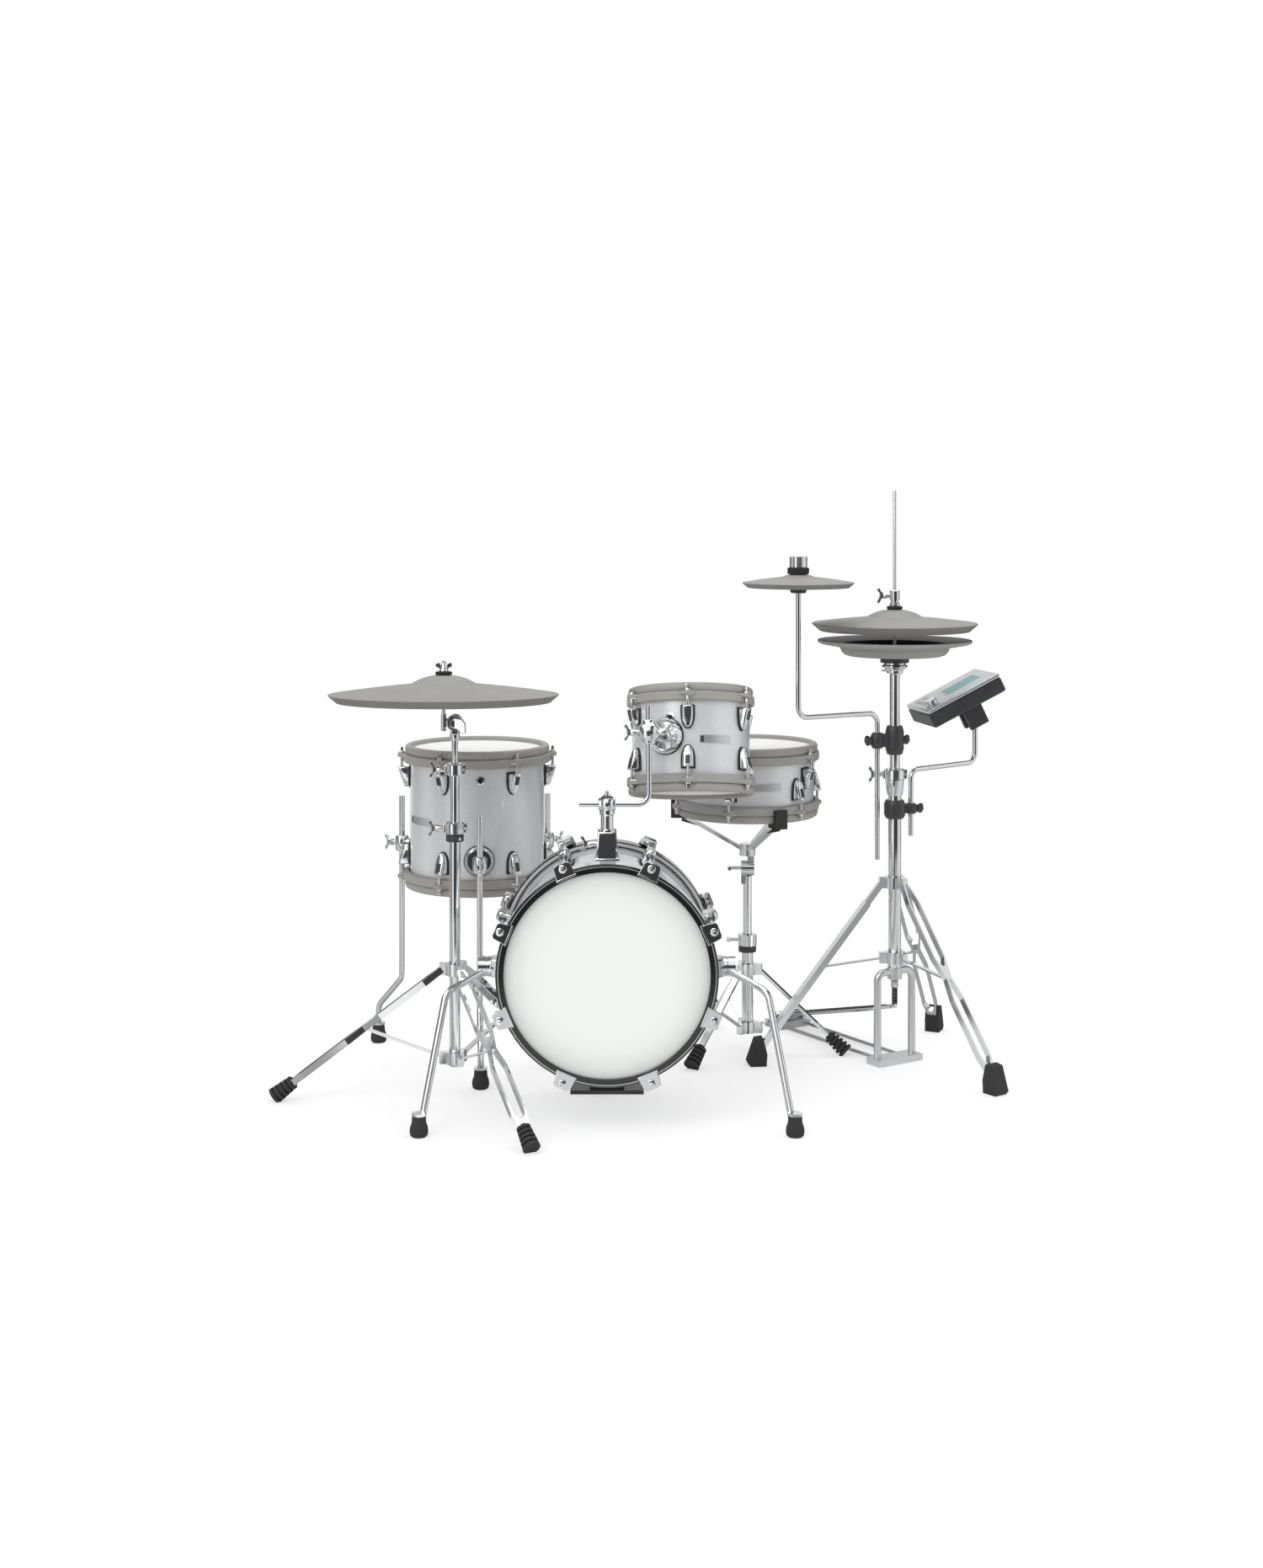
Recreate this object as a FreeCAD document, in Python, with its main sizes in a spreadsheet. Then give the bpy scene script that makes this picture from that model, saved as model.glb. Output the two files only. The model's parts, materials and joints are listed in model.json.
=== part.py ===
"""Electronic drum kit: bass drum, two toms, snare, three pad cymbals, their stands and the sound module.

The frame is +X to the kit's left as the player sits, +Y towards the player and +Z up from the floor.
"""
import FreeCAD, Part
import Sketcher
import math
import os

doc = FreeCAD.newDocument("drum_kit")
sheet = doc.addObject("Spreadsheet::Sheet", "Sizes")

# Driving dimensions in millimetres, by assembly
SIZES = {
    # Clearances
    "seat_gap": 0.2,
    "slide_gap": 0.3,
    "pin_gap": 0.05,
    "overrun": 6,
    # Drum shells, heads and hoops
    "shell_wall": 7,
    "head_thickness": 2,
    "collar_width": 3,
    "collar_height": 9,
    "hoop_lip": 4,
    "hoop_rise": 9,
    "hoop_height": 36,
    "hoop_band_height": 18,
    "ear_radius": 10,
    "ear_thickness": 8,
    # Lugs and tension rods
    "tension_rod_radius": 3,
    "washer_radius": 5.5,
    "washer_height": 4,
    "key_radius": 3.4,
    "key_height": 9,
    "lug_width": 25,
    "lug_height": 44,
    "lug_drop": 12,
    "lug_overhang": 8,
    "lug_tip_width": 16,
    "lug_tip_depth": 9,
    "gasket_thickness": 2,
    "gasket_margin": 2,
    "jack_radius": 6,
    # Inner triggers
    "trigger_bar_width": 24,
    "trigger_bar_height": 12,
    "trigger_depth": 40,
    "trigger_cone_radius": 16,
    # Bass drum
    "bass_x": -98.4,
    "bass_z": 300,
    "bass_front_y": -365.5,
    "bass_depth": 310,
    "bass_shell_radius": 203,
    "bass_hoop_wall": 12,
    "bass_hoop_height": 40,
    "bass_hoop_rise": 7,
    "bass_lug_length": 58,
    "bass_lug_width": 27,
    "bass_lug_depth": 34,
    "bass_lug_tip_width": 18,
    "bass_rod_offset": 8,
    "bass_rod_radius": 4,
    "claw_width": 34,
    "claw_length": 26,
    "claw_depth": 17,
    "claw_lip": 11,
    "claw_plate": 4,
    "claw_key_radius": 8,
    "claw_key_height": 7,
    # Bass drum spurs and lift
    "spur_rod_radius": 7,
    "spur_bracket_depth": 37,
    "spur_bracket_height": 44,
    "spur_bracket_length": 52,
    "spur_pivot_y": -215.5,
    "spur_pivot_z": 286,
    "spur_pin_radius": 6,
    "spur_hub_radius": 20,
    "spur_hub_width": 15,
    "spur_start_drop": 8,
    "spur_start_lead": 16,
    "spur_bend_out": 75,
    "spur_bend_y": -285.5,
    "spur_bend_z": 250,
    "spur_bend_radius": 36,
    "spur_foot_out": 119,
    "spur_foot_y": -390.5,
    "lift_width": 150,
    "lift_length": 60,
    "lift_plate": 8,
    "lift_post_width": 70,
    "lift_post_length": 30,
    "lift_cradle_rise": 9,
    # Rubber bell feet
    "bell_foot_radius": 18,
    "bell_neck_radius": 12,
    "bell_rim_height": 10,
    "bell_foot_height": 40,
    "bell_washer_radius": 14,
    "bell_washer_height": 5,
    # Rack tom and its mount
    "mount_y": -245.5,
    "mount_width": 50,
    "mount_length": 50,
    "mount_height": 62,
    "post_radius": 12.5,
    "post_depth": 120,
    "arm_z": 613,
    "arm_rod_radius": 5.5,
    "arm_left": 55,
    "arm_reach": 83,
    "arm_rise": 194,
    "arm_bend_radius": 22,
    "arm_clamp_radius": 17,
    "arm_clamp_length": 34,
    "arm_bolt_radius": 6,
    "arm_bolt_tip_z": 640,
    "rack_depth": 220,
    "rack_shell_radius": 122,
    "rack_hoop_wall": 8,
    "rack_rod_offset": 14,
    "rack_arm_offset": 84,
    "rack_lift": 29.5,
    "bracket_disc_radius": 38,
    "bracket_disc_height": 16,
    "bracket_z": 112,
    "bracket_neck_radius": 13,
    "bracket_ball_radius": 24,
    "wing_span": 34,
    "wing_height": 15,
    "wing_thickness": 5,
    "wing_bolt_radius": 5,
    "wing_bolt_length": 16,
    # Floor tom
    "floor_x": -381.4,
    "floor_y": 194.5,
    "floor_z": 373,
    "floor_depth": 308,
    "floor_shell_radius": 146,
    "floor_hoop_wall": 11,
    "floor_rod_offset": 18,
    "leg_bracket_z": 450,
    "leg_disc_radius": 33,
    "leg_disc_height": 14,
    "leg_neck_radius": 11,
    "leg_offset": 49,
    "leg_clamp_radius": 15,
    "leg_clamp_height": 34,
    "leg_rod_radius": 6.35,
    "leg_top_z": 555,
    "leg_bend_high_z": 150,
    "leg_bend_low_z": 82,
    "leg_spread": 62,
    "leg_bend_radius": 30,
    # Snare drum and its stand
    "snare_x": 211.6,
    "snare_y": 252.5,
    "snare_z": 519,
    "snare_depth": 160,
    "snare_shell_radius": 146,
    "snare_hoop_wall": 8.5,
    "snare_rod_offset": 15,
    "grip_width": 28,
    "grip_height": 40,
    "grip_thickness": 10,
    "grip_reach_in": 26,
    "basket_z": 428,
    "basket_hub_radius": 18,
    "basket_hub_height": 26,
    "basket_arm_width": 16,
    "basket_arm_thickness": 7,
    "tilter_z": 400,
    "tilter_radius": 17,
    "tilter_width": 14,
    "snare_tube_radius": 9.5,
    "snare_base_radius": 12.7,
    "snare_base_top_z": 254,
    "snare_base_bottom_z": 44,
    "snare_tube_depth": 90,
    "snare_collar_z": 178,
    "snare_low_collar_z": 50,
    "snare_foot_ring": 195,
    # Cymbal stand and ride cymbal
    "cymbal_x": -404.4,
    "cymbal_y": -171.5,
    "cymbal_base_radius": 11,
    "cymbal_mid_radius": 9,
    "cymbal_top_radius": 6.35,
    "cymbal_base_bottom_z": 76,
    "cymbal_base_top_z": 566,
    "cymbal_mid_bottom_z": 440,
    "cymbal_mid_top_z": 672,
    "cymbal_top_z": 748,
    "cymbal_collar_z": 271,
    "cymbal_low_collar_z": 93,
    "cymbal_foot_ring": 341.8,
    "cymbal_tilter_z": 766,
    "cymbal_tilter_radius": 17,
    "cymbal_tilter_width": 11,
    "cymbal_rod_offset": 23,
    "cymbal_rod_radius": 4,
    "ride_radius": 232,
    "ride_edge_z": 807,
    "ride_edge_height": 16,
    "ride_bell_radius": 66,
    "ride_bell_rise": 38,
    "ride_bow_rise": 20.5,
    "ride_thickness": 7,
    "ride_hole_radius": 7,
    "felt_radius": 17,
    "felt_height": 7,
    "cup_radius": 14,
    # Hi-hat stand
    "hihat_x": 522.6,
    "hihat_y": 145.5,
    "hihat_base_radius": 14,
    "hihat_upper_radius": 11,
    "hihat_base_bottom_z": 205,
    "hihat_base_top_z": 633,
    "hihat_upper_bottom_z": 470,
    "hihat_upper_top_z": 862,
    "hihat_bore_radius": 5,
    "hihat_collar_z": 388,
    "hihat_low_collar_z": 226,
    "hihat_foot_ring": 297,
    "pull_rod_radius": 3.5,
    "pull_rod_top_z": 1233,
    "connector_radius": 8,
    "connector_length": 18,
    "frame_width": 96,
    "frame_rod_radius": 8,
    "frame_top_z": 196,
    "frame_bend_radius": 18,
    "base_plate_length": 44,
    "base_plate_width": 120,
    "base_plate_height": 14,
    "heel_distance": 376,
    "heel_length": 56,
    "heel_width": 90,
    "heel_height": 16,
    "radius_rod_radius": 4,
    "radius_rod_spread": 62,
    "board_width": 70,
    "board_thickness": 7,
    "board_toe_distance": 30,
    "board_toe_z": 112,
    "heel_pin_z": 26,
    "heel_pin_radius": 5,
    "heel_eye_radius": 9,
    "chain_roller_radius": 3.5,
    "chain_width": 10,
    "chain_plate": 2,
    "hat_radius": 178,
    "hat_edge_z": 930.5,
    "hat_edge_height": 17,
    "hat_bell_radius": 60,
    "hat_bell_rise": 29,
    "hat_bow_rise": 13,
    "hat_hole_radius": 6,
    "low_hat_radius": 166,
    "low_hat_edge_z": 903,
    "low_hat_edge_height": 8,
    "low_hat_bowl_radius": 117,
    "low_hat_bowl_z": 877,
    "seat_radius": 31,
    "seat_low_radius": 22,
    "clutch_radius": 11,
    "clutch_height": 34,
    # Splash cymbal and its arm
    "splash_x": 304.6,
    "splash_y": 34.5,
    "splash_radius": 118,
    "splash_edge_z": 1028.6,
    "splash_edge_height": 11,
    "splash_bell_radius": 34,
    "splash_bell_rise": 17,
    "splash_bow_rise": 12,
    "splash_felt_radius": 23,
    "splash_felt_height": 14,
    "splash_rod_radius": 5.4,
    "splash_bend_z": 754,
    "splash_rod_x": 483.6,
    "splash_rod_y": 134.5,
    "splash_rod_bottom_z": 439,
    "splash_clamp_z": 695,
    "splash_clamp_height": 62,
    "splash_knob_radius": 19,
    "splash_knob_height": 22,
    "rod_bend_radius": 22,
    "clamp_wall": 9,
    "clamp_knob_radius": 11,
    "clamp_knob_length": 18,
    # Sound module and its arm
    "module_y": 289.5,
    "module_length": 184,
    "module_width": 140,
    "module_height": 34,
    "module_panel_height": 9,
    "module_screen_length": 92,
    "module_screen_width": 62,
    "module_screen_height": 1.2,
    "module_knob_radius": 15,
    "module_knob_height": 13,
    "module_arm_x": 720.6,
    "module_arm_top_z": 716,
    "module_bend_z": 629,
    "module_rod_x": 558.6,
    "module_rod_y": 154.5,
    "module_rod_bottom_z": 487,
    "module_clamp_z": 546,
    "module_clamp_height": 40,
    "fin_width": 46,
    "fin_thickness": 12,
    "fin_drop": 44,
    "fin_shift": 18,
    # Tripod legs, collars and rubber feet
    "leg_strip": 4,
    "leg_web": 30,
    "leg_depth": 13,
    "leg_spread_width": 32,
    "leg_neck_width": 14,
    "brace_width": 11,
    "brace_thickness": 4,
    "collar_wall": 8,
    "collar_ring_height": 24,
    "collar_ear": 12,
    "tbolt_radius": 4,
    "tbolt_length": 26,
    "memory_height": 14,
    "memory_wall": 7,
    "tripod_foot_height": 52,
    "tripod_foot_radius": 17,
    "tripod_foot_tip_radius": 13,
    "rib_depth": 5,
}

# Angles in degrees and counts
RACK_TILT = -12
RACK_BEARING = -116.2
RACK_LUG_ANGLE = -95
RACK_JACK_ANGLE = -112
FLOOR_LUG_ANGLE = 4
SNARE_LUG_ANGLE = -36
SNARE_LUG_OFFSET = -12
FLOOR_LEG_ANGLES = {"front": -85, "right": 40, "left": 152.5}
SNARE_GRIP_ANGLES = (-68, 52, 172)
CYMBAL_LEG_ANGLES = (177, 297, 57)
HIHAT_LEG_ANGLES = (185, 305, 65)
SNARE_LEG_ANGLES = (-14, 233, 110)
LUG_COUNT = 6
BASS_LUG_COUNT = 8
BASS_LUG_ANGLE = 22.5
RIDE_TILT = -1.8
PEDAL_BEARING = 122.8
MODULE_SLOPE = 26
MODULE_TURN = 12
MODULE_KNOB_TURN = 80
CHAIN_LINKS = 5
FOOT_RIBS = 5
BRACKET_BOLT_ANGLES = (-60, 90)
FLOOR_JACK_ANGLE = -84
SNARE_JACK_ANGLE = 30
RACK_JACK_SHARE = 0.68
LEG_TAPER_SHARE = 0.22
LEG_END_SHARE = 0.55
FOOT_SOLE_SHARE = 0.6
LEG_PINCH_SHARE = 0.5
STRIP_DEPTH_SHARE = 0.5
CHANNEL_INSET_SHARE = 0.12
CHANNEL_WIDTH_SHARE = 0.9
RIB_SHARE = 0.6
BELL_FOOT_SHARES = ((0.25, 0), (0.8, 0.08), (1, 0.26), (0.85, 0.45), (0.35, 0.65), (0.2, 1))
BOARD_LIP_SHARE = 0.1
CHAIN_START_SHARE = 0.5
CHAIN_END_SHARE = 0.7
CLAMP_LINK_SHARE = 0.45
CLAMP_ROD_SHARE = 0.55
SCREEN_SHIFT_SHARE = 0.12
KNOB_SHIFT_SHARE = 0.37
KNOB_SIDE_SHARE = 0.3
BOOT_SHARES = ((-0.9, 0), (1.1, 0), (1.5, 0.15), (0.5, 1.1), (-0.5, 1.15), (-1.0, 0.5))
BOOT_WIDTH_SHARE = 1.9
RIM_SHARE = 0.9
ROCK_GAP_SHARE = 2.8
BOW_SHARES = ((1.0, 0), (0.75, 0.3), (0.45, 0.6), (0.18, 0.87))
BELL_SHARES = ((1.0, 0.04), (0.8, 0.3), (0.55, 0.72), (0.3, 0.94), (0, 1.0))
FLOOR_JACK_SHARE = 0.8

ZERO = FreeCAD.Vector(0, 0, 0)
X_AXIS = FreeCAD.Vector(1, 0, 0)
Y_AXIS = FreeCAD.Vector(0, 1, 0)
Z_AXIS = FreeCAD.Vector(0, 0, 1)
NODES = []


class Size:
    """A dimension with its value and the sheet expression that gives it."""

    def __init__(self, value, text):
        self.value = value
        self.text = text

    def __float__(self):
        return self.value

    def __neg__(self):
        return Size(-self.value, f"(-{self.text})")

    def __add__(self, other):
        other = as_size(other)
        return Size(self.value + other.value, f"({self.text} + {other.text})")

    def __sub__(self, other):
        other = as_size(other)
        return Size(self.value - other.value, f"({self.text} - {other.text})")

    def __radd__(self, other):
        return as_size(other) + self

    def __rsub__(self, other):
        return as_size(other) - self

    def __mul__(self, share):
        return Size(self.value * share, f"({self.text} * {share})")

    def __truediv__(self, share):
        return Size(self.value / share, f"({self.text} / {share})")


def as_size(item):
    """Give a plain number as a Size."""
    if isinstance(item, Size):
        return item
    return Size(float(item), repr(float(item)))


class Sizes:
    """The sheet's cells as attributes."""

    def __init__(self, table):
        for row, (name, value) in enumerate(table.items(), start=1):
            sheet.set(f"A{row}", str(value))
            sheet.setAlias(f"A{row}", name)
            setattr(self, name, Size(float(value), f"Sizes.{name}"))


s = Sizes(SIZES)
doc.recompute()


def vec(x, y, z):
    """Make a vector from sizes or numbers."""
    return FreeCAD.Vector(float(x), float(y), float(z))


def polar(ring, angle, z=0):
    """Give the point at a distance and an angle around Z."""
    turn = math.radians(angle)
    return vec(float(ring) * math.cos(turn), float(ring) * math.sin(turn), z)


def at(x, y, z):
    """Give a placement that only moves."""
    return FreeCAD.Placement(vec(x, y, z), FreeCAD.Rotation())


def turn(axis, angle):
    """Give a placement that only turns."""
    return FreeCAD.Placement(ZERO, FreeCAD.Rotation(axis, angle))


def along(point, direction):
    """Give a placement whose Z runs along a direction."""
    return FreeCAD.Placement(point, FreeCAD.Rotation(Z_AXIS, direction))


def facing(point, x_dir, y_dir):
    """Give a placement whose X and Y run along two directions."""
    return FreeCAD.Placement(point, FreeCAD.Rotation(x_dir, y_dir, x_dir.cross(y_dir), "XYZ"))


def bind(item, **sizes):
    """Tie an object's dimensions to the sheet."""
    for name, size in sizes.items():
        size = as_size(size)
        setattr(item, name, size.value)
        item.setExpression(name, size.text)
    return item


def add(kind, place, **sizes):
    """Add one primitive at a placement."""
    item = bind(doc.addObject(f"Part::{kind}", kind), **sizes)
    item.Placement = place
    return item


def cylinder(radius, height, place):
    """Add a cylinder that rises along its placement's Z."""
    return add("Cylinder", place, Radius=radius, Height=height)


def cone(low, high, height, place):
    """Add a cone from its low radius to its high radius."""
    return add("Cone", place, Radius1=low, Radius2=high, Height=height)


def box(length, width, height, place):
    """Add a box centred on its placement in X and Y, rising along Z."""
    corner = at(-length / 2, -width / 2, 0)
    return add("Box", place.multiply(corner), Length=length, Width=width, Height=height)


def bar(start, end, width, thickness, side):
    """Add a flat bar between two points, its width along a side direction."""
    run = end - start
    x_dir = FreeCAD.Vector(run).normalize()
    normal = x_dir.cross(side).normalize()
    y_dir = normal.cross(x_dir)
    corner = at(0, -width / 2, -thickness / 2)
    place = facing(start, x_dir, y_dir).multiply(corner)
    item = add("Box", place, Width=width, Height=thickness)
    item.Length = run.Length
    return item


def pin(radius, start, end):
    """Add a cylinder between two points."""
    run = end - start
    item = add("Cylinder", along(start, run), Radius=radius)
    item.Height = run.Length
    return item


def cut(base, *tools):
    """Cut tools out of a base, one after the other."""
    for tool in tools:
        result = doc.addObject("Part::Cut", "Cut")
        result.Base = base
        result.Tool = tool
        base = result
    return base


def fuse(*items):
    """Join touching shapes into one solid."""
    result = doc.addObject("Part::MultiFuse", "Fuse")
    result.Shapes = list(items)
    return result


def tube(outer, inner, height, place):
    """Add a tube that rises along its placement's Z."""
    hole = cylinder(inner, height + s.overrun * 2, place.multiply(at(0, 0, -s.overrun)))
    return cut(cylinder(outer, height, place), hole)


def node(label, *items):
    """Name one sub-part, made of one solid or of a group of separate solids."""
    if len(items) == 1:
        result = items[0]
    else:
        result = doc.addObject("Part::Compound", label)
        result.Links = list(items)
    result.Label = label
    NODES.append(result)
    return result


def draw(sketch, outline):
    """Draw a closed outline whose corners are held at sizes from the sketch's origin."""
    points = [(as_size(x), as_size(y)) for x, y in outline]
    first = sketch.GeometryCount
    for index, (x, y) in enumerate(points):
        next_x, next_y = points[(index + 1) % len(points)]
        sketch.addGeometry(Part.LineSegment(vec(x, y, 0), vec(next_x, next_y, 0)))
    for index in range(len(points)):
        after = (index + 1) % len(points)
        sketch.addConstraint(Sketcher.Constraint("Coincident", first + index, 2, first + after, 1))
    for index, (x, y) in enumerate(points):
        hold(sketch, "DistanceX", first + index, x, -2)
        hold(sketch, "DistanceY", first + index, y, -1)


def hold(sketch, kind, line, size, axis):
    """Hold the start of a line at a size from the sketch's origin."""
    if size.value == 0:
        sketch.addConstraint(Sketcher.Constraint("PointOnObject", line, 1, axis))
        return
    ends = (-1, 1, line, 1)
    if size.value < 0:
        ends = (line, 1, -1, 1)
        size = -size
    index = sketch.addConstraint(Sketcher.Constraint(kind, *ends, size.value))
    sketch.setExpression(f"Constraints[{index}]", size.text)


def sketched(place, plane, *outlines):
    """Make a body with one sketch on one of its origin planes."""
    body = doc.addObject("PartDesign::Body", "Body")
    sketch = body.newObject("Sketcher::SketchObject", "Outline")
    support = next(item for item in body.Origin.OriginFeatures if item.Role == plane)
    sketch.AttachmentSupport = [(support, "")]
    sketch.MapMode = "FlatFace"
    for outline in outlines:
        draw(sketch, outline)
    body.Placement = place
    return body, sketch


def turned(place, outline):
    """Turn an outline of radius and height points about the placement's Z."""
    body, sketch = sketched(place, "XZ_Plane", outline)
    feature = body.newObject("PartDesign::Revolution", "Turned")
    feature.Profile = sketch
    feature.ReferenceAxis = (sketch, ["V_Axis"])
    feature.Angle = 360
    return body


def padded(place, height, *outlines):
    """Raise outlines along the placement's Z; an outline inside another one is a hole."""
    body, sketch = sketched(place, "XY_Plane", *outlines)
    feature = body.newObject("PartDesign::Pad", "Padded")
    feature.Profile = sketch
    bind(feature, Length=height)
    return body


def route(points, bend):
    """Join points by straight runs and tangent arcs."""
    edges = []
    start = points[0]
    for before, corner, after in zip(points, points[1:], points[2:]):
        into = (corner - before).normalize()
        out = (after - corner).normalize()
        half = into.getAngle(out) / 2
        reach = float(bend) * math.tan(half)
        inward = (out - into).normalize()
        enter = corner - into * reach
        middle = corner + inward * float(bend) * (1 / math.cos(half) - 1)
        leave = corner + out * reach
        edges.append(Part.LineSegment(start, enter).toShape())
        edges.append(Part.Arc(enter, middle, leave).toShape())
        start = leave
    edges.append(Part.LineSegment(start, points[-1]).toShape())
    return Part.Wire(edges)


def rod(radius, bend, *points):
    """Sweep a round rod along a bent route."""
    spine = doc.addObject("Part::Feature", "Route")
    spine.Shape = route(points, bend)
    section = add("Circle", along(points[0], points[1] - points[0]), Radius=radius)
    sweep = doc.addObject("Part::Sweep", "Rod")
    sweep.Sections = [section]
    sweep.Spine = (spine, [])
    sweep.Solid = True
    return sweep


def wing_bolt(place):
    """Add a wing bolt whose shank rises along the placement's Z."""
    shank = cylinder(s.wing_bolt_radius, s.wing_bolt_length, place)
    wing = box(s.wing_span, s.wing_thickness, s.wing_height, place.multiply(at(0, 0, s.wing_bolt_length)))
    return fuse(shank, wing)


def t_bolt(place):
    """Add a bolt with a cross handle that rises along the placement's Z."""
    shank = cylinder(s.tbolt_radius, s.tbolt_length, place)
    cross = place.multiply(at(0, 0, s.tbolt_length)).multiply(turn(X_AXIS, 90))
    handle = cylinder(s.tbolt_radius, s.tbolt_length, cross.multiply(at(0, 0, -s.tbolt_length / 2)))
    return fuse(shank, handle)


def bell_foot(rod_shape, point):
    """Add a rubber bell foot with its washer, bored for the rod that it caps."""
    neck = s.bell_foot_radius - s.bell_neck_radius
    outline = [(0, 0)]
    for wide, high in BELL_FOOT_SHARES:
        outline.append((s.bell_neck_radius + neck * wide, s.bell_foot_height * high))
    outline.append((0, s.bell_foot_height))
    foot = cut(turned(at(*point), outline), rod_shape)
    top = at(point.x, point.y, s.bell_foot_height)
    washer = cut(cylinder(s.bell_washer_radius, s.bell_washer_height, top), rod_shape)
    return foot, washer


class Drum:
    """One drum along its own Z: shell, two heads, two hoops and the hardware round them."""

    def __init__(self, name, frame, depth, shell, hoop_wall, rod_offset, rise):
        self.name = name
        self.frame = frame
        self.depth = depth
        self.shell = shell
        self.hoop = shell + hoop_wall
        self.rod_ring = shell + rod_offset
        self.rise = rise
        self.edge = rise + s.head_thickness

    def flip(self):
        """Give the drum's frame seen from its other end."""
        return self.frame.multiply(at(0, 0, self.depth)).multiply(turn(X_AXIS, 180))

    def spot(self, angle):
        """Give the drum's frame turned so that X points out at an angle."""
        return self.frame.multiply(turn(Z_AXIS, angle))

    def make_shell(self, *holes):
        """Make the shell between the two heads, with holes through its wall."""
        length = self.depth - self.edge * 2
        body = tube(self.shell, self.shell - s.shell_wall, length, self.frame.multiply(at(0, 0, self.edge)))
        node(f"{self.name}_shell", cut(body, *holes))

    def jack_hole(self, angle, z):
        """Give the tool for a jack hole in the shell's wall."""
        place = self.spot(angle).multiply(at(self.shell - s.shell_wall * 2, 0, z)).multiply(turn(Y_AXIS, 90))
        return cylinder(s.jack_radius, s.shell_wall * 4, place)

    def head(self, frame):
        """Make one head: a skin over the shell's end with its collar round the shell."""
        collar_in = self.shell + s.seat_gap
        collar_out = collar_in + s.collar_width
        low = self.rise + s.head_thickness + s.collar_height
        return turned(frame, [(0, self.rise), (collar_out, self.rise), (collar_out, low),
                              (collar_in, low), (collar_in, self.edge), (0, self.edge)])

    def make_heads(self):
        """Make the batter head and the bottom head."""
        node(f"{self.name}_heads", self.head(self.frame), self.head(self.flip()))

    def plain_hoop(self, frame, height):
        """Make a smooth hoop that presses the head's collar."""
        inner = self.shell + s.seat_gap * 2 + s.collar_width
        lip = self.shell - s.hoop_lip
        return turned(frame, [(lip, 0), (self.hoop, 0), (self.hoop, height), (inner, height),
                              (inner, self.rise), (lip, self.rise)])

    def eared_hoop(self, frame, angles):
        """Make a stepped hoop with one ear for each tension rod."""
        inner = self.shell + s.seat_gap * 2 + s.collar_width
        lip = self.shell - s.hoop_lip
        flange = self.rod_ring - s.tension_rod_radius - s.seat_gap
        ring = turned(frame, [(lip, 0), (self.hoop, 0), (self.hoop, s.hoop_band_height),
                              (flange, s.hoop_band_height), (flange, s.hoop_height), (inner, s.hoop_height),
                              (inner, self.rise), (lip, self.rise)])
        ears = []
        for angle in angles:
            place = frame.multiply(FreeCAD.Placement(polar(self.rod_ring, angle, s.hoop_band_height),
                                                     FreeCAD.Rotation()))
            ears.append(cylinder(s.ear_radius, s.ear_thickness, place))
        bore = cylinder(inner, s.hoop_height, frame.multiply(at(0, 0, self.rise)))
        return cut(fuse(ring, *ears), bore)

    def lug_set(self, frame, angle):
        """Make one lug with its gasket, tension rod and key head at one end of the drum."""
        place = frame.multiply(turn(Z_AXIS, angle))
        top = s.hoop_height + s.lug_drop
        back = self.shell + s.seat_gap
        corner = at(back, -s.lug_width / 2 - s.gasket_margin, top - s.gasket_margin)
        gasket = add("Box", place.multiply(corner),
                     Length=s.gasket_thickness, Width=s.lug_width + s.gasket_margin * 2,
                     Height=s.lug_height + s.gasket_margin * 2)
        face = back + s.gasket_thickness
        reach = self.rod_ring + s.lug_overhang - face
        casing_place = place.multiply(facing(vec(face, 0, top), Y_AXIS, Z_AXIS))
        casing = add("Wedge", casing_place, Xmin=-s.lug_width / 2, Xmax=s.lug_width / 2, Ymin=0,
                     Ymax=s.lug_height, Zmin=0, Zmax=reach, X2min=-s.lug_tip_width / 2,
                     X2max=s.lug_tip_width / 2, Z2min=0, Z2max=s.lug_tip_depth)
        ear_low = s.hoop_band_height + s.ear_thickness
        shank = cylinder(s.tension_rod_radius, top - ear_low, place.multiply(at(self.rod_ring, 0, ear_low)))
        washer_low = s.hoop_band_height - s.washer_height
        washer = cylinder(s.washer_radius, s.washer_height, place.multiply(at(self.rod_ring, 0, washer_low)))
        key = cylinder(s.key_radius, s.key_height,
                       place.multiply(at(self.rod_ring, 0, washer_low - s.key_height)))
        return [gasket, casing, shank, fuse(washer, key)]

    def make_hardware(self, top_angle, bottom_offset):
        """Make both hoops, and the lugs and rods that draw them on."""
        step = 360 / LUG_COUNT
        low_angles = [top_angle + bottom_offset + step * index for index in range(LUG_COUNT)]
        top_angles = [-(top_angle + step * index) for index in range(LUG_COUNT)]
        high = self.flip()
        node(f"{self.name}_hoops", self.eared_hoop(self.frame, low_angles), self.eared_hoop(high, top_angles))
        pieces = []
        for angle in low_angles:
            pieces += self.lug_set(self.frame, angle)
        for angle in top_angles:
            pieces += self.lug_set(high, angle)
        node(f"{self.name}_lugs_and_rods", *pieces)

    def trigger(self, end, angle):
        """Make the sensor bar across the shell behind the head at one end, with its foam cone."""
        inner = self.shell - s.shell_wall - s.seat_gap
        place = end.multiply(turn(Z_AXIS, angle)).multiply(at(0, 0, self.edge + s.trigger_depth))
        ring = cylinder(inner, s.trigger_bar_height, place)
        beam = doc.addObject("Part::MultiCommon", "Beam")
        beam.Shapes = [ring, box(inner * 2, s.trigger_bar_width, s.trigger_bar_height, place)]
        foam_place = place.multiply(turn(X_AXIS, 180))
        foam = cone(s.trigger_cone_radius, s.trigger_cone_radius / 2, s.trigger_depth - s.seat_gap,
                    foam_place)
        return [beam, foam]


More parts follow.
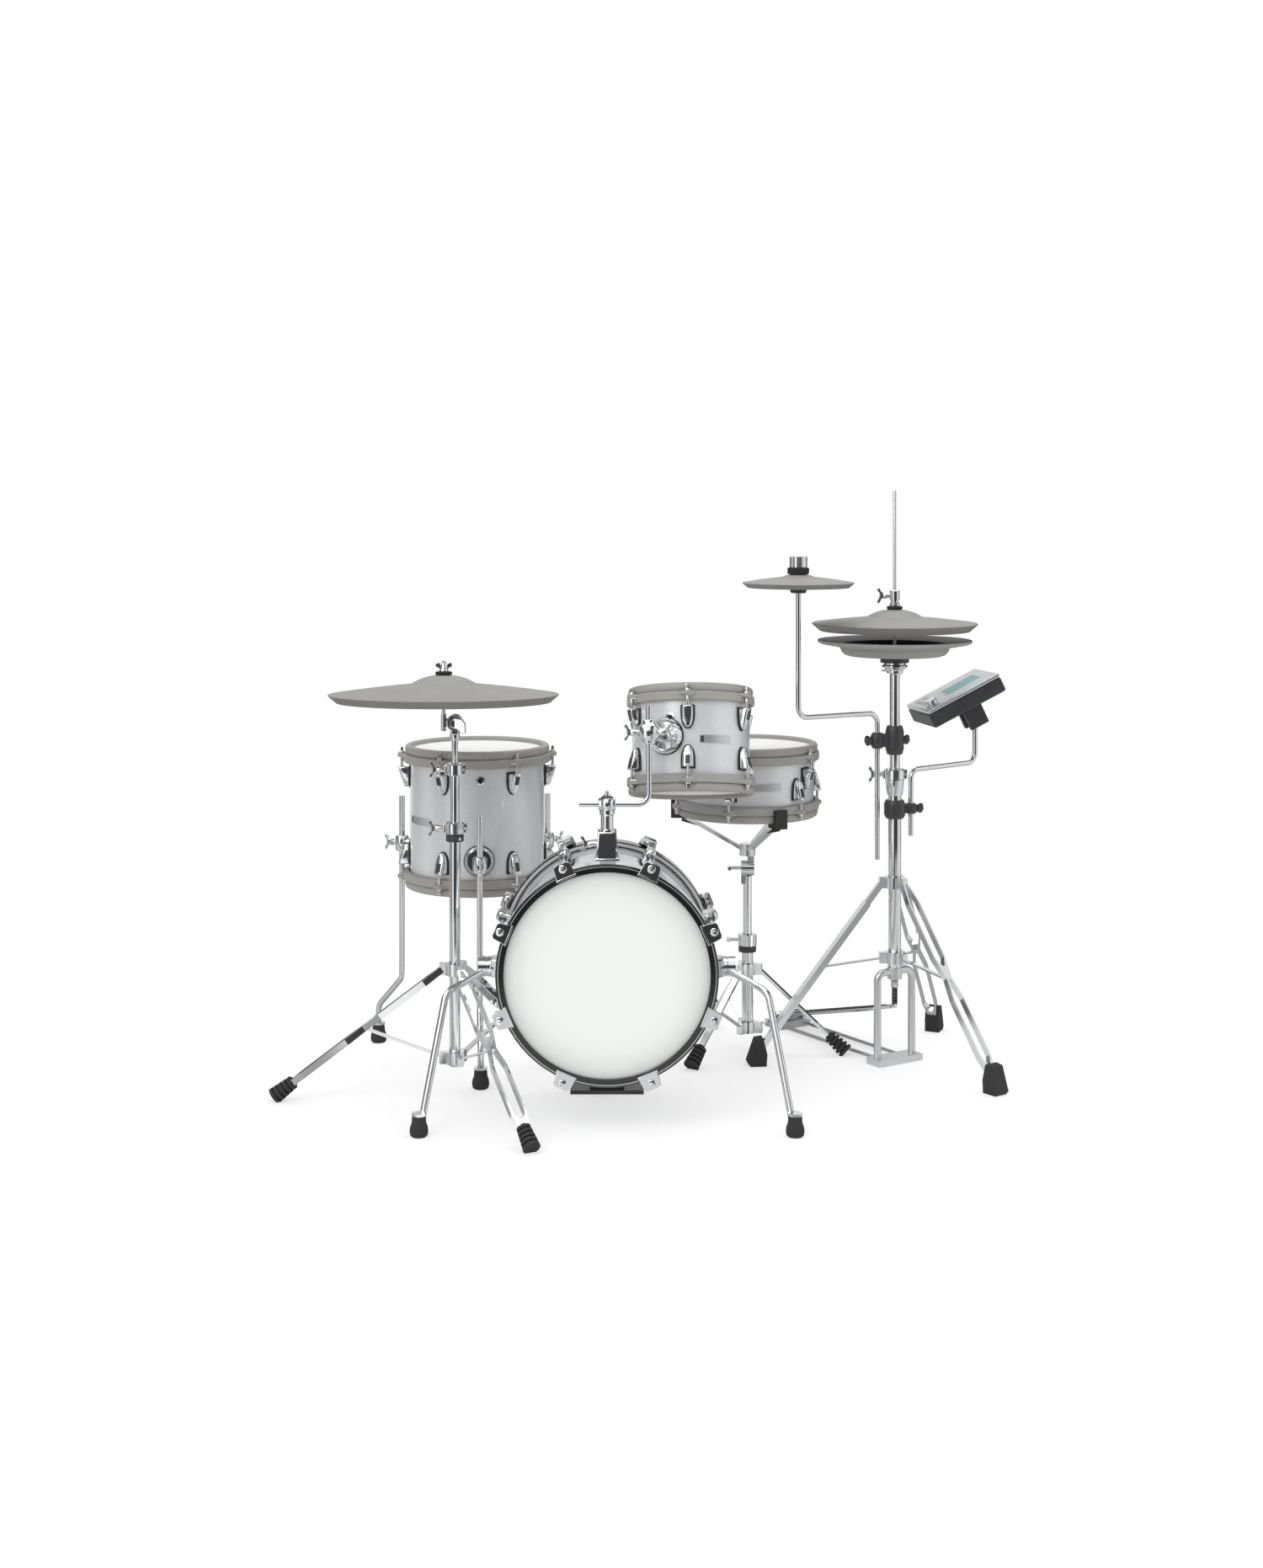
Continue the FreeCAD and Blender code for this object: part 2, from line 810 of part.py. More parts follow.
def bass_frame():
    """Give the bass drum's frame, with Z towards the audience and Y up."""
    rear_y = s.bass_front_y + s.bass_depth
    return at(s.bass_x, rear_y, s.bass_z).multiply(turn(X_AXIS, 90))


def make_bass_drum():
    """Make the bass drum with its hoops, claws, rods and lugs."""
    drum = Drum("bass", bass_frame(), s.bass_depth, s.bass_shell_radius, s.bass_hoop_wall,
                s.bass_hoop_wall + s.bass_rod_offset, s.bass_hoop_rise)
    post_hole = cylinder(s.post_radius + s.slide_gap, s.bass_shell_radius + s.overrun,
                         at(s.bass_x, s.mount_y, s.bass_z))
    drum.make_shell(post_hole)
    drum.make_heads()
    node("bass_rear_hoop", drum.plain_hoop(drum.frame, s.bass_hoop_height))
    node("bass_front_hoop", drum.plain_hoop(drum.flip(), s.bass_hoop_height))
    lugs = []
    claws = []
    for index in range(BASS_LUG_COUNT):
        angle = BASS_LUG_ANGLE + index * 360 / BASS_LUG_COUNT
        lugs.append(bass_lug(drum, angle))
        claws += bass_claw(drum, drum.frame, angle)
        claws += bass_claw(drum, drum.flip(), -angle)
    node("bass_lugs", *lugs)
    node("bass_claws_and_rods", *claws)
    return drum


def bass_lug(drum, angle):
    """Make one lug casing that takes a rod at each end, narrower away from the shell."""
    middle = (drum.depth - s.bass_lug_length) / 2
    place = drum.spot(angle).multiply(facing(vec(drum.shell + s.seat_gap, 0, middle), -Y_AXIS, X_AXIS))
    return add("Wedge", place, Xmin=-s.bass_lug_width / 2, Xmax=s.bass_lug_width / 2,
               Ymin=0, Ymax=s.bass_lug_depth, Zmin=0, Zmax=s.bass_lug_length, X2min=-s.bass_lug_tip_width / 2,
               X2max=s.bass_lug_tip_width / 2, Z2min=0, Z2max=s.bass_lug_length)


def bass_claw(drum, frame, angle):
    """Make one claw over a hoop's face, with the rod behind it and the key in front."""
    place = frame.multiply(turn(Z_AXIS, angle))
    side = box(s.claw_depth, s.claw_width, s.claw_length,
               place.multiply(at(drum.hoop + s.seat_gap + s.claw_depth / 2, 0, 0)))
    span = s.claw_lip + s.seat_gap + s.claw_depth
    lip = box(span, s.claw_width, s.claw_plate,
              place.multiply(at(drum.hoop - s.claw_lip + span / 2, 0, -s.claw_plate)))
    key = cylinder(s.claw_key_radius, s.claw_key_height,
                   place.multiply(at(drum.rod_ring, 0, -s.claw_plate - s.claw_key_height)))
    shank_length = (drum.depth - s.bass_lug_length) / 2 - s.claw_length
    shank = cylinder(s.bass_rod_radius, shank_length, place.multiply(at(drum.rod_ring, 0, s.claw_length)))
    return [fuse(side, lip, key), shank]


def spur_reach():
    """Give how far the spur brackets reach from the bass drum's axis."""
    return s.bass_shell_radius + s.spur_bracket_depth


def make_brackets(floor_tom):
    """Make the spur brackets on the bass shell and the leg brackets on the floor tom."""
    pieces = []
    for sign in (-1, 1):
        inner = s.bass_shell_radius + s.seat_gap
        reach = spur_reach()
        width = reach - inner
        block = box(width, s.spur_bracket_length, s.spur_bracket_height,
                    at(s.bass_x + (inner + width / 2) * sign, s.spur_pivot_y,
                       s.spur_pivot_z - s.spur_bracket_height / 2))
        start = vec(s.bass_x + reach * sign, s.spur_pivot_y, s.spur_pivot_z)
        end = start + X_AXIS * sign * float(s.spur_hub_width + s.slide_gap * 2)
        pieces.append(fuse(block, pin(s.spur_pin_radius, start, end)))
    for angle in FLOOR_LEG_ANGLES.values():
        pieces.append(leg_bracket(floor_tom, angle))
    node("spur_and_leg_brackets", *pieces)


def leg_bracket(drum, angle):
    """Make one disc bracket on the shell, with a neck and a clamp round its leg."""
    height = s.leg_bracket_z - s.floor_z
    out = drum.spot(angle).multiply(at(drum.shell + s.seat_gap, 0, height)).multiply(turn(Y_AXIS, 90))
    disc = cylinder(s.leg_disc_radius, s.leg_disc_height, out)
    ring = drum.shell + s.leg_offset
    neck = cylinder(s.leg_neck_radius, ring - drum.shell - s.seat_gap, out)
    clamp_place = drum.spot(angle).multiply(at(ring, 0, height - s.leg_clamp_height / 2))
    clamp = cylinder(s.leg_clamp_radius, s.leg_clamp_height, clamp_place)
    bolt = wing_bolt(drum.spot(angle).multiply(at(ring + s.leg_clamp_radius - s.seat_gap, 0, height))
                     .multiply(turn(Y_AXIS, 90)))
    bore = cylinder(s.leg_rod_radius + s.pin_gap, s.leg_clamp_height + s.overrun * 2,
                    clamp_place.multiply(at(0, 0, -s.overrun)))
    return cut(fuse(disc, neck, clamp, bolt), bore)


def make_spurs():
    """Make the two folding spurs, each a hub, a bent rod and a rubber foot."""
    for sign, side in ((-1, "left"), (1, "right")):
        reach = spur_reach()
        hub_start = reach + s.slide_gap
        axis = along(vec(s.bass_x + hub_start * sign, s.spur_pivot_y, s.spur_pivot_z), X_AXIS * sign)
        hub = cylinder(s.spur_hub_radius, s.spur_hub_width, axis)
        bore = cylinder(s.spur_pin_radius + s.pin_gap, s.spur_hub_width + s.overrun * 2,
                        axis.multiply(at(0, 0, -s.overrun)))
        start = vec(s.bass_x + (hub_start + s.spur_hub_width / 2) * sign, s.spur_pivot_y - s.spur_start_lead,
                    s.spur_pivot_z - s.spur_start_drop)
        bend = vec(s.bass_x + (reach + s.spur_bend_out) * sign, s.spur_bend_y, s.spur_bend_z)
        foot = vec(s.bass_x + (reach + s.spur_foot_out) * sign, s.spur_foot_y, 0)
        seat = foot + (bend - foot) * (float(s.bell_rim_height) / float(s.spur_bend_z))
        shaft = rod(s.spur_rod_radius, s.spur_bend_radius, start, bend, seat)
        rubber, washer = bell_foot(shaft, foot)
        node(f"bass_spur_{side}", fuse(cut(hub, bore), shaft), rubber, washer)


def make_bass_lift():
    """Make the lift that carries the bass drum's rear hoop off the floor."""
    middle_y = s.bass_front_y + s.bass_depth - s.bass_hoop_height / 2
    plate = box(s.lift_width, s.lift_length, s.lift_plate, at(s.bass_x, middle_y, 0))
    hoop = s.bass_shell_radius + s.bass_hoop_wall
    top = s.bass_z - hoop + s.lift_cradle_rise
    post = box(s.lift_post_width, s.lift_post_length, top - s.lift_plate,
               at(s.bass_x, middle_y, s.lift_plate))
    round_cut = cylinder(hoop + s.seat_gap, s.lift_length * 2,
                         at(s.bass_x, middle_y + s.lift_length, s.bass_z).multiply(turn(X_AXIS, 90)))
    node("bass_lift", cut(fuse(plate, post), round_cut))


def arm_frame():
    """Give the tom arm's frame: its origin where the rod bends up, its Z up the rod."""
    return at(s.bass_x + s.arm_reach, s.mount_y, s.arm_z).multiply(turn(X_AXIS, RACK_TILT))


def make_tom_mount():
    """Make the mount on the bass shell, its post and the bent arm."""
    base_z = s.bass_z + s.bass_shell_radius + s.seat_gap
    base = box(s.mount_width, s.mount_length, s.mount_height, at(s.bass_x, s.mount_y, base_z))
    bore = cylinder(s.post_radius + s.pin_gap, s.mount_height + s.overrun * 2,
                    at(s.bass_x, s.mount_y, base_z - s.overrun))
    side = vec(s.bass_x - s.mount_width / 2, s.mount_y, base_z + s.mount_height / 2)
    bolt = wing_bolt(along(side, -X_AXIS))
    node("tom_mount_base", fuse(cut(base, bore), bolt))
    foot_z = base_z - s.post_depth
    post = cylinder(s.post_radius, s.arm_z - foot_z, at(s.bass_x, s.mount_y, foot_z))
    clamp_start = vec(s.bass_x - s.arm_clamp_length / 2, s.mount_y, s.arm_z)
    clamp = cylinder(s.arm_clamp_radius, s.arm_clamp_length, along(clamp_start, X_AXIS))
    tip = cylinder(s.arm_bolt_radius, s.arm_bolt_tip_z - s.arm_z, at(s.bass_x, s.mount_y, s.arm_z))
    rod_bore = cylinder(s.arm_rod_radius + s.pin_gap, s.arm_clamp_length + s.overrun * 2,
                        along(clamp_start - X_AXIS * float(s.overrun), X_AXIS))
    node("tom_mount_post", cut(fuse(post, clamp, tip), rod_bore))
    corner = arm_frame().multVec(ZERO)
    left = vec(s.bass_x - s.arm_left, s.mount_y, s.arm_z)
    top = arm_frame().multVec(vec(0, 0, s.arm_rise))
    node("tom_arm", rod(s.arm_rod_radius, s.arm_bend_radius, left, corner, top))


def make_rack_tom():
    """Make the rack tom and the bracket that holds it on the arm."""
    reach = s.rack_shell_radius + s.rack_arm_offset
    out = polar(reach, RACK_BEARING)
    frame = arm_frame().multiply(at(-out.x, -out.y, s.rack_lift))
    drum = Drum("rack_tom", frame, s.rack_depth, s.rack_shell_radius, s.rack_hoop_wall,
                s.rack_rod_offset, s.hoop_rise)
    drum.make_shell(drum.jack_hole(RACK_JACK_ANGLE, drum.depth * RACK_JACK_SHARE))
    drum.make_heads()
    drum.make_hardware(RACK_LUG_ANGLE, 0)
    side = drum.spot(RACK_BEARING)
    start = side.multiply(at(drum.shell + s.seat_gap, 0, s.bracket_z)).multiply(turn(Y_AXIS, 90))
    disc = cylinder(s.bracket_disc_radius, s.bracket_disc_height, start)
    neck = cylinder(s.bracket_neck_radius, reach - drum.shell - s.seat_gap, start)
    centre = side.multiply(at(reach, 0, s.bracket_z))
    ball = add("Sphere", centre, Radius=s.bracket_ball_radius)
    bore = cylinder(s.arm_rod_radius + s.pin_gap, s.bracket_ball_radius * 4,
                    centre.multiply(at(0, 0, -s.bracket_ball_radius * 2)))
    bolts = []
    for angle in BRACKET_BOLT_ANGLES:
        turned_place = centre.multiply(turn(Z_AXIS, angle)).multiply(turn(Y_AXIS, 90))
        bolts.append(wing_bolt(turned_place.multiply(at(0, 0, s.bracket_ball_radius - s.wing_thickness))))
    node("rack_tom_bracket", cut(fuse(disc, neck, ball, *bolts), bore))
    node("rack_tom_trigger", *drum.trigger(drum.flip(), RACK_LUG_ANGLE))


def floor_frame():
    """Give the floor tom's frame."""
    return at(s.floor_x, s.floor_y, s.floor_z)


def make_floor_tom():
    """Make the floor tom with its three legs."""
    drum = Drum("floor_tom", floor_frame(), s.floor_depth, s.floor_shell_radius, s.floor_hoop_wall,
                s.floor_rod_offset, s.hoop_rise)
    drum.make_shell(drum.jack_hole(FLOOR_JACK_ANGLE, drum.depth * FLOOR_JACK_SHARE))
    drum.make_heads()
    drum.make_hardware(FLOOR_LUG_ANGLE, 0)
    for side, angle in FLOOR_LEG_ANGLES.items():
        make_floor_leg(side, angle)
    return drum


def make_floor_leg(side, angle):
    """Make one floor tom leg, bent outwards near its foot."""
    axis = vec(s.floor_x, s.floor_y, 0)
    near = s.floor_shell_radius + s.leg_offset
    far = near + s.leg_spread
    foot = axis + polar(far, angle)
    shaft = rod(s.leg_rod_radius, s.leg_bend_radius, axis + polar(near, angle, s.leg_top_z),
                axis + polar(near, angle, s.leg_bend_high_z), axis + polar(far, angle, s.leg_bend_low_z),
                axis + polar(far, angle, s.bell_rim_height))
    node(f"floor_tom_leg_{side}", shaft, *bell_foot(shaft, foot))


def collar(radius, place, height):
    """Make a collar round a tube."""
    return tube(radius + s.collar_wall, radius + s.seat_gap, height, place)


def eared_collar(radius, axis, z, angles):
    """Make a collar with one ear for each leg of a tripod."""
    low = z - s.collar_ring_height / 2
    place = at(axis.x, axis.y, low)
    ring = cylinder(radius + s.collar_wall, s.collar_ring_height, place)
    ears = []
    for angle in angles:
        ear_place = place.multiply(turn(Z_AXIS, angle)).multiply(at(radius + s.collar_wall, 0, 0))
        ears.append(box(s.collar_ear * 2, s.leg_neck_width, s.collar_ring_height, ear_place))
    bore = cylinder(radius + s.seat_gap, s.collar_ring_height + s.overrun * 2,
                    place.multiply(at(0, 0, -s.overrun)))
    return cut(fuse(ring, *ears), bore)


def leg_loop(start, end, side):
    """Make half of a leg: two strips that part between its ends."""
    run = end - start
    length = run.Length
    taper = length * LEG_TAPER_SHARE
    neck = s.leg_neck_width / 2
    wide = s.leg_spread_width / 2
    slim = neck - s.leg_strip
    inner = wide - s.leg_strip
    edge = s.leg_strip
    outer_line = [(0, -neck), (taper, -wide), (length - taper, -wide), (length, -neck),
                  (length, neck), (length - taper, wide), (taper, wide), (0, neck)]
    far = as_size(length) - s.leg_web
    inner_line = [(edge, -slim), (taper, -inner), (length - taper, -inner), (far, -slim),
                  (far, slim), (length - taper, inner), (taper, inner), (edge, slim)]
    x_dir = FreeCAD.Vector(run).normalize()
    place = facing(start, x_dir, side).multiply(at(0, 0, -s.leg_depth / 2))
    return padded(place, s.leg_depth, outer_line, inner_line)


class Tripod:
    """Three legs with braces, between a collar and a lower collar on a tube."""

    def __init__(self, axis, radius, collar_z, low_z, ring, angles):
        self.axis = axis
        self.radius = radius
        self.collar_z = collar_z
        self.low_z = low_z
        self.ring = ring
        self.angles = angles
        self.pieces = []
        self.feet = []

    def build(self, styles, foot):
        """Make the collars, then each leg in its style with its brace and foot."""
        high = eared_collar(self.radius, self.axis, self.collar_z, self.angles)
        low = eared_collar(self.radius, self.axis, self.low_z, self.angles)
        self.pieces += [high, low]
        for angle, style in zip(self.angles, styles):
            start = self.axis + polar(self.radius + s.collar_wall + s.collar_ear / 2, angle, self.collar_z)
            end = self.axis + polar(self.ring, angle, s.tripod_foot_height * LEG_END_SHARE)
            middle = start + (end - start) * LEG_PINCH_SHARE
            side = polar(1, angle + 90)
            leg = cut(style(start, middle, end, side), high)
            brace_start = self.axis + polar(self.radius + s.collar_wall, angle, self.low_z)
            brace = bar(brace_start, middle, s.brace_width, s.brace_thickness, side)
            self.pieces += [leg, cut(brace, leg, low)]
            self.feet.append(cut(foot(start, end, angle), leg))


def loop_leg(start, middle, end, side):
    """Make a leg of two parting strips, pinched in the middle."""
    pinch = FreeCAD.Vector(end - start).normalize() * float(s.leg_strip / 2)
    return fuse(leg_loop(start, middle + pinch, side), leg_loop(middle - pinch, end, side))


def strip_leg(start, middle, end, side):
    """Make a leg of one plain strip."""
    return bar(start, end, s.leg_neck_width, s.leg_depth * STRIP_DEPTH_SHARE, side)


def channel_leg(start, middle, end, side):
    """Make a leg of one wide channel that narrows to a strip at its ends."""
    inset = (end - start) * CHANNEL_INSET_SHARE
    wide = bar(start + inset, end - inset, s.leg_spread_width * CHANNEL_WIDTH_SHARE, s.leg_depth, side)
    return fuse(wide, bar(start, end, s.leg_neck_width, s.leg_depth, side))


def ribbed_foot(start, end, angle):
    """Make a ribbed rubber foot that leans with its leg and is flat on the floor."""
    outline = [(0, 0)]
    step = s.tripod_foot_height / FOOT_RIBS
    for index in range(FOOT_RIBS):
        wide = s.tripod_foot_radius - (s.tripod_foot_radius - s.tripod_foot_tip_radius) * (index / FOOT_RIBS)
        groove = wide - s.rib_depth
        outline += [(wide, step * index), (wide, step * (index + RIB_SHARE)),
                    (groove, step * (index + RIB_SHARE)), (groove, step * (index + 1))]
    outline.append((0, s.tripod_foot_height))
    up = FreeCAD.Vector(start - end).normalize()
    base = end - up * float(s.tripod_foot_height * FOOT_SOLE_SHARE)
    return above_floor(turned(along(base, up), outline), base)


def wedge_foot(start, end, angle):
    """Make a boot-shaped rubber foot with a broad toe."""
    outline = [(s.tripod_foot_radius * wide, s.tripod_foot_height * high) for wide, high in BOOT_SHARES]
    width = s.tripod_foot_radius * BOOT_WIDTH_SHARE
    place = FreeCAD.Placement(vec(end.x, end.y, 0), FreeCAD.Rotation(Z_AXIS, angle))
    upright = place.multiply(turn(X_AXIS, 90)).multiply(at(0, 0, -width / 2))
    return padded(upright, width, outline)


def above_floor(shape, base):
    """Cut off what reaches below the floor."""
    size = s.tripod_foot_height * 2
    return cut(shape, box(size, size, size, at(base.x, base.y, -size)))


def make_cymbal_stand():
    """Make the ride's stand and its tilter."""
    axis = vec(s.cymbal_x, s.cymbal_y, 0)
    inner = s.cymbal_mid_radius + s.slide_gap
    base = tube(s.cymbal_base_radius, inner, s.cymbal_base_top_z - s.cymbal_base_bottom_z,
                at(axis.x, axis.y, s.cymbal_base_bottom_z))
    clamp_z = s.cymbal_base_top_z - s.collar_ring_height
    clamp = collar(s.cymbal_base_radius, at(axis.x, axis.y, clamp_z), s.collar_ring_height)
    reach = s.cymbal_base_radius + s.collar_wall / 2
    bolt = wing_bolt(along(axis + vec(-reach, 0, clamp_z + s.collar_ring_height / 2), -X_AXIS))
    memory = tube(s.cymbal_base_radius + s.memory_wall, s.cymbal_base_radius + s.seat_gap, s.memory_height,
                  at(axis.x, axis.y, clamp_z - s.memory_height - s.seat_gap))
    node("cymbal_base_tube", base, fuse(clamp, bolt), memory)
    make_cymbal_upper_tube(axis)
    tripod = Tripod(axis, s.cymbal_base_radius, s.cymbal_collar_z, s.cymbal_low_collar_z, s.cymbal_foot_ring,
                    CYMBAL_LEG_ANGLES)
    tripod.build([loop_leg] * len(CYMBAL_LEG_ANGLES), ribbed_foot)
    node("cymbal_tripod", *tripod.pieces)
    return tripod.feet


def make_cymbal_upper_tube(axis):
    """Make the sliding tube with the fixed half of the tilter on its top."""
    middle = cylinder(s.cymbal_mid_radius, s.cymbal_mid_top_z - s.cymbal_mid_bottom_z,
                      at(axis.x, axis.y, s.cymbal_mid_bottom_z))
    top = cylinder(s.cymbal_top_radius, s.cymbal_top_z - s.cymbal_mid_top_z,
                   at(axis.x, axis.y, s.cymbal_mid_top_z))
    cap_z = s.cymbal_mid_top_z - s.collar_ring_height / 2
    cap = cylinder(s.cymbal_mid_radius + s.collar_wall, s.collar_ring_height, at(axis.x, axis.y, cap_z))
    side = axis + vec(-s.cymbal_mid_radius - s.collar_wall / 2, 0, s.cymbal_mid_top_z)
    bolt = wing_bolt(along(side, -X_AXIS))
    knuckle_start = axis + vec(0, -s.cymbal_tilter_width, s.cymbal_tilter_z)
    knuckle = cylinder(s.cymbal_tilter_radius, s.cymbal_tilter_width, along(knuckle_start, Y_AXIS))
    neck_low = s.cymbal_top_z - s.cymbal_tilter_radius
    neck = box(s.cymbal_tilter_radius, s.cymbal_tilter_width, s.cymbal_tilter_z - neck_low,
               at(axis.x, axis.y - s.cymbal_tilter_width / 2, neck_low))
    lever = wing_bolt(along(knuckle_start, -Y_AXIS))
    node("cymbal_upper_tube", fuse(middle, top, cap, bolt, knuckle, neck, lever))


def ride_frame():
    """Give the frame of the ride's rod, with Z up the rod from the tilter's axis."""
    rod_y = s.cymbal_y + s.slide_gap + s.cymbal_tilter_width / 2
    return at(s.cymbal_x - s.cymbal_rod_offset, rod_y, s.cymbal_tilter_z).multiply(turn(X_AXIS, RIDE_TILT))


class PadCymbal:
    """A rubber pad cymbal round its own Z, with its edge at a height."""

    def __init__(self, frame, radius, edge_z, edge_height, bell_radius, bell_rise, bow_rise, hole,
                 felt_radius, felt_height):
        self.frame = frame
        self.radius = radius
        self.edge_z = edge_z
        self.edge_height = edge_height
        self.bell_radius = bell_radius
        self.bell_rise = bell_rise
        self.bow_rise = bow_rise
        self.hole = hole
        self.felt_radius = felt_radius
        self.felt_height = felt_height
        self.top = edge_z + edge_height + bow_rise + (bell_rise - bow_rise)
        self.seat = self.top - s.ride_thickness
        self.crown = self.top + s.slide_gap + felt_height

    def curve(self, drop, shrink):
        """Give the bow and bell as one smooth curve from the edge to the hole."""
        points = []
        rim = self.edge_z + self.edge_height - drop
        for share, rise in BOW_SHARES:
            radius = self.bell_radius + (self.radius - shrink - self.bell_radius) * share
            points.append(vec(radius, 0, rim + self.bow_rise * rise))
        for share, rise in BELL_SHARES:
            radius = self.hole + (self.bell_radius - self.hole) * share
            points.append(vec(radius, 0, rim + self.bow_rise + (self.bell_rise - self.bow_rise) * rise))
        curve = Part.BSplineCurve()
        curve.interpolate(points)
        return points, curve.toShape()

    def pad(self):
        """Turn the cymbal's section, with a bevelled rim."""
        high_points, high = self.curve(0, 0)
        low_points, low = self.curve(s.ride_thickness, self.edge_height * 2)
        bevel = vec(self.radius - self.edge_height, 0, self.edge_z)
        rim = vec(self.radius, 0, self.edge_z + self.edge_height * RIM_SHARE)
        edges = [high, Part.LineSegment(high_points[-1], low_points[-1]).toShape(), low,
                 Part.LineSegment(low_points[0], bevel).toShape(), Part.LineSegment(bevel, rim).toShape(),
                 Part.LineSegment(rim, high_points[0]).toShape()]
        face = Part.Face(Part.Wire(Part.__sortEdges__(edges)))
        item = doc.addObject("Part::Feature", "PadCymbal")
        item.Shape = face.revolve(ZERO, Z_AXIS, 360)
        item.Placement = self.frame
        return item

    def felt(self):
        """Add the felt on top of the bell."""
        place = self.frame.multiply(at(0, 0, self.top + s.slide_gap))
        return tube(self.felt_radius, self.hole, self.felt_height, place)


def make_ride():
    """Make the tilter's moving half with its rod, the ride and the wing nut."""
    frame = ride_frame()
    hinge = at(s.cymbal_x, s.cymbal_y + s.slide_gap, s.cymbal_tilter_z).multiply(turn(X_AXIS, -90))
    disc = cylinder(s.cymbal_tilter_radius, s.cymbal_tilter_width, hinge)
    ride = PadCymbal(frame, s.ride_radius, s.ride_edge_z - s.cymbal_tilter_z, s.ride_edge_height,
                     s.ride_bell_radius, s.ride_bell_rise, s.ride_bow_rise, s.ride_hole_radius, s.felt_radius,
                     s.felt_height)
    boss_drop = s.cymbal_tilter_radius
    boss = cylinder(s.cymbal_tilter_width / 2, boss_drop * 2, frame.multiply(at(0, 0, -boss_drop)))
    bridge = box(s.cymbal_rod_offset, s.cymbal_tilter_width, s.cymbal_tilter_radius,
                 at(s.cymbal_x - s.cymbal_rod_offset / 2,
                    s.cymbal_y + s.slide_gap + s.cymbal_tilter_width / 2,
                    s.cymbal_tilter_z - s.cymbal_tilter_radius / 2))
    rise = ride.crown + s.wing_bolt_length + s.wing_thickness
    shank = cylinder(s.cymbal_rod_radius, rise, frame)
    rest_gap = s.slide_gap * ROCK_GAP_SHARE
    cup = cone(s.cymbal_rod_radius + s.slide_gap, s.cymbal_rod_radius * 2, s.cup_radius,
               frame.multiply(at(0, 0, ride.seat - rest_gap - s.cup_radius)))
    node("cymbal_tilter", fuse(disc, boss, bridge, shank, cup))
    node("ride_cymbal", ride.pad(), ride.felt())
    nut_place = frame.multiply(at(0, 0, ride.crown + rest_gap))
    wings = nut_place.multiply(at(0, 0, s.wing_thickness))
    nut = fuse(cylinder(s.cymbal_rod_radius * 2, s.wing_bolt_length, nut_place),
               box(s.wing_span, s.wing_thickness, s.wing_height, wings))
    bore = cylinder(s.cymbal_rod_radius + s.pin_gap, rise, frame.multiply(at(0, 0, s.cymbal_tilter_radius)))
    node("ride_wing_nut", cut(nut, bore))


def make_snare():
    """Make the snare drum, the basket that grips it and the stand under it."""
    frame = at(s.snare_x, s.snare_y, s.snare_z)
    drum = Drum("snare", frame, s.snare_depth, s.snare_shell_radius, s.snare_hoop_wall, s.snare_rod_offset,
                s.hoop_rise)
    drum.make_shell(drum.jack_hole(SNARE_JACK_ANGLE, drum.depth / 2))
    drum.make_heads()
    drum.make_hardware(SNARE_LUG_ANGLE, SNARE_LUG_OFFSET)
    node("snare_trigger", *drum.trigger(drum.flip(), SNARE_LUG_ANGLE))
    make_snare_basket(drum)
    return make_snare_stand()


def make_snare_basket(drum):
    """Make the basket: a hub on the tilter, three arms and three rubber grips."""
    axis = vec(s.snare_x, s.snare_y, 0)
    hub = cylinder(s.basket_hub_radius, s.basket_hub_height, at(axis.x, axis.y, s.basket_z))
    knuckle_start = axis + vec(s.slide_gap, 0, s.tilter_z)
    knuckle = cylinder(s.tilter_radius, s.tilter_width, along(knuckle_start, X_AXIS))
    stem = box(s.tilter_width, s.tilter_radius, s.basket_z - s.tilter_z,
               at(axis.x + s.slide_gap + s.tilter_width / 2, axis.y, s.tilter_z))
    flange = drum.rod_ring - s.tension_rod_radius
    arms = []
    grips = []
    for angle in SNARE_GRIP_ANGLES:
        side = polar(1, angle + 90)
        under = s.snare_z - s.seat_gap - s.grip_thickness
        arm_end = axis + polar(flange - s.grip_reach_in / 2, angle, under - s.basket_arm_thickness / 2)
        arm_bend = axis + polar(flange - s.grip_reach_in * 2, angle, under - s.basket_arm_thickness * 2)
        arm_start = axis + polar(s.basket_hub_radius / 2, angle, s.basket_z + s.basket_hub_height / 2)
        arms += [bar(arm_start, arm_bend, s.basket_arm_width, s.basket_arm_thickness, side),
                 bar(arm_bend, arm_end, s.basket_arm_width, s.basket_arm_thickness, side)]
        place = at(axis.x, axis.y, under).multiply(turn(Z_AXIS, angle))
        span = s.grip_reach_in + s.grip_thickness
        pad = box(span, s.grip_width, s.grip_thickness,
                  place.multiply(at(flange + s.grip_thickness - span / 2, 0, 0)))
        lip = box(s.grip_thickness, s.grip_width, s.grip_height,
                  place.multiply(at(flange + s.seat_gap + s.grip_thickness / 2, 0, 0)))
        grips.append(fuse(pad, lip))
    frame = fuse(hub, knuckle, stem, *arms)
    node("snare_basket", frame, *[cut(grip, frame) for grip in grips])


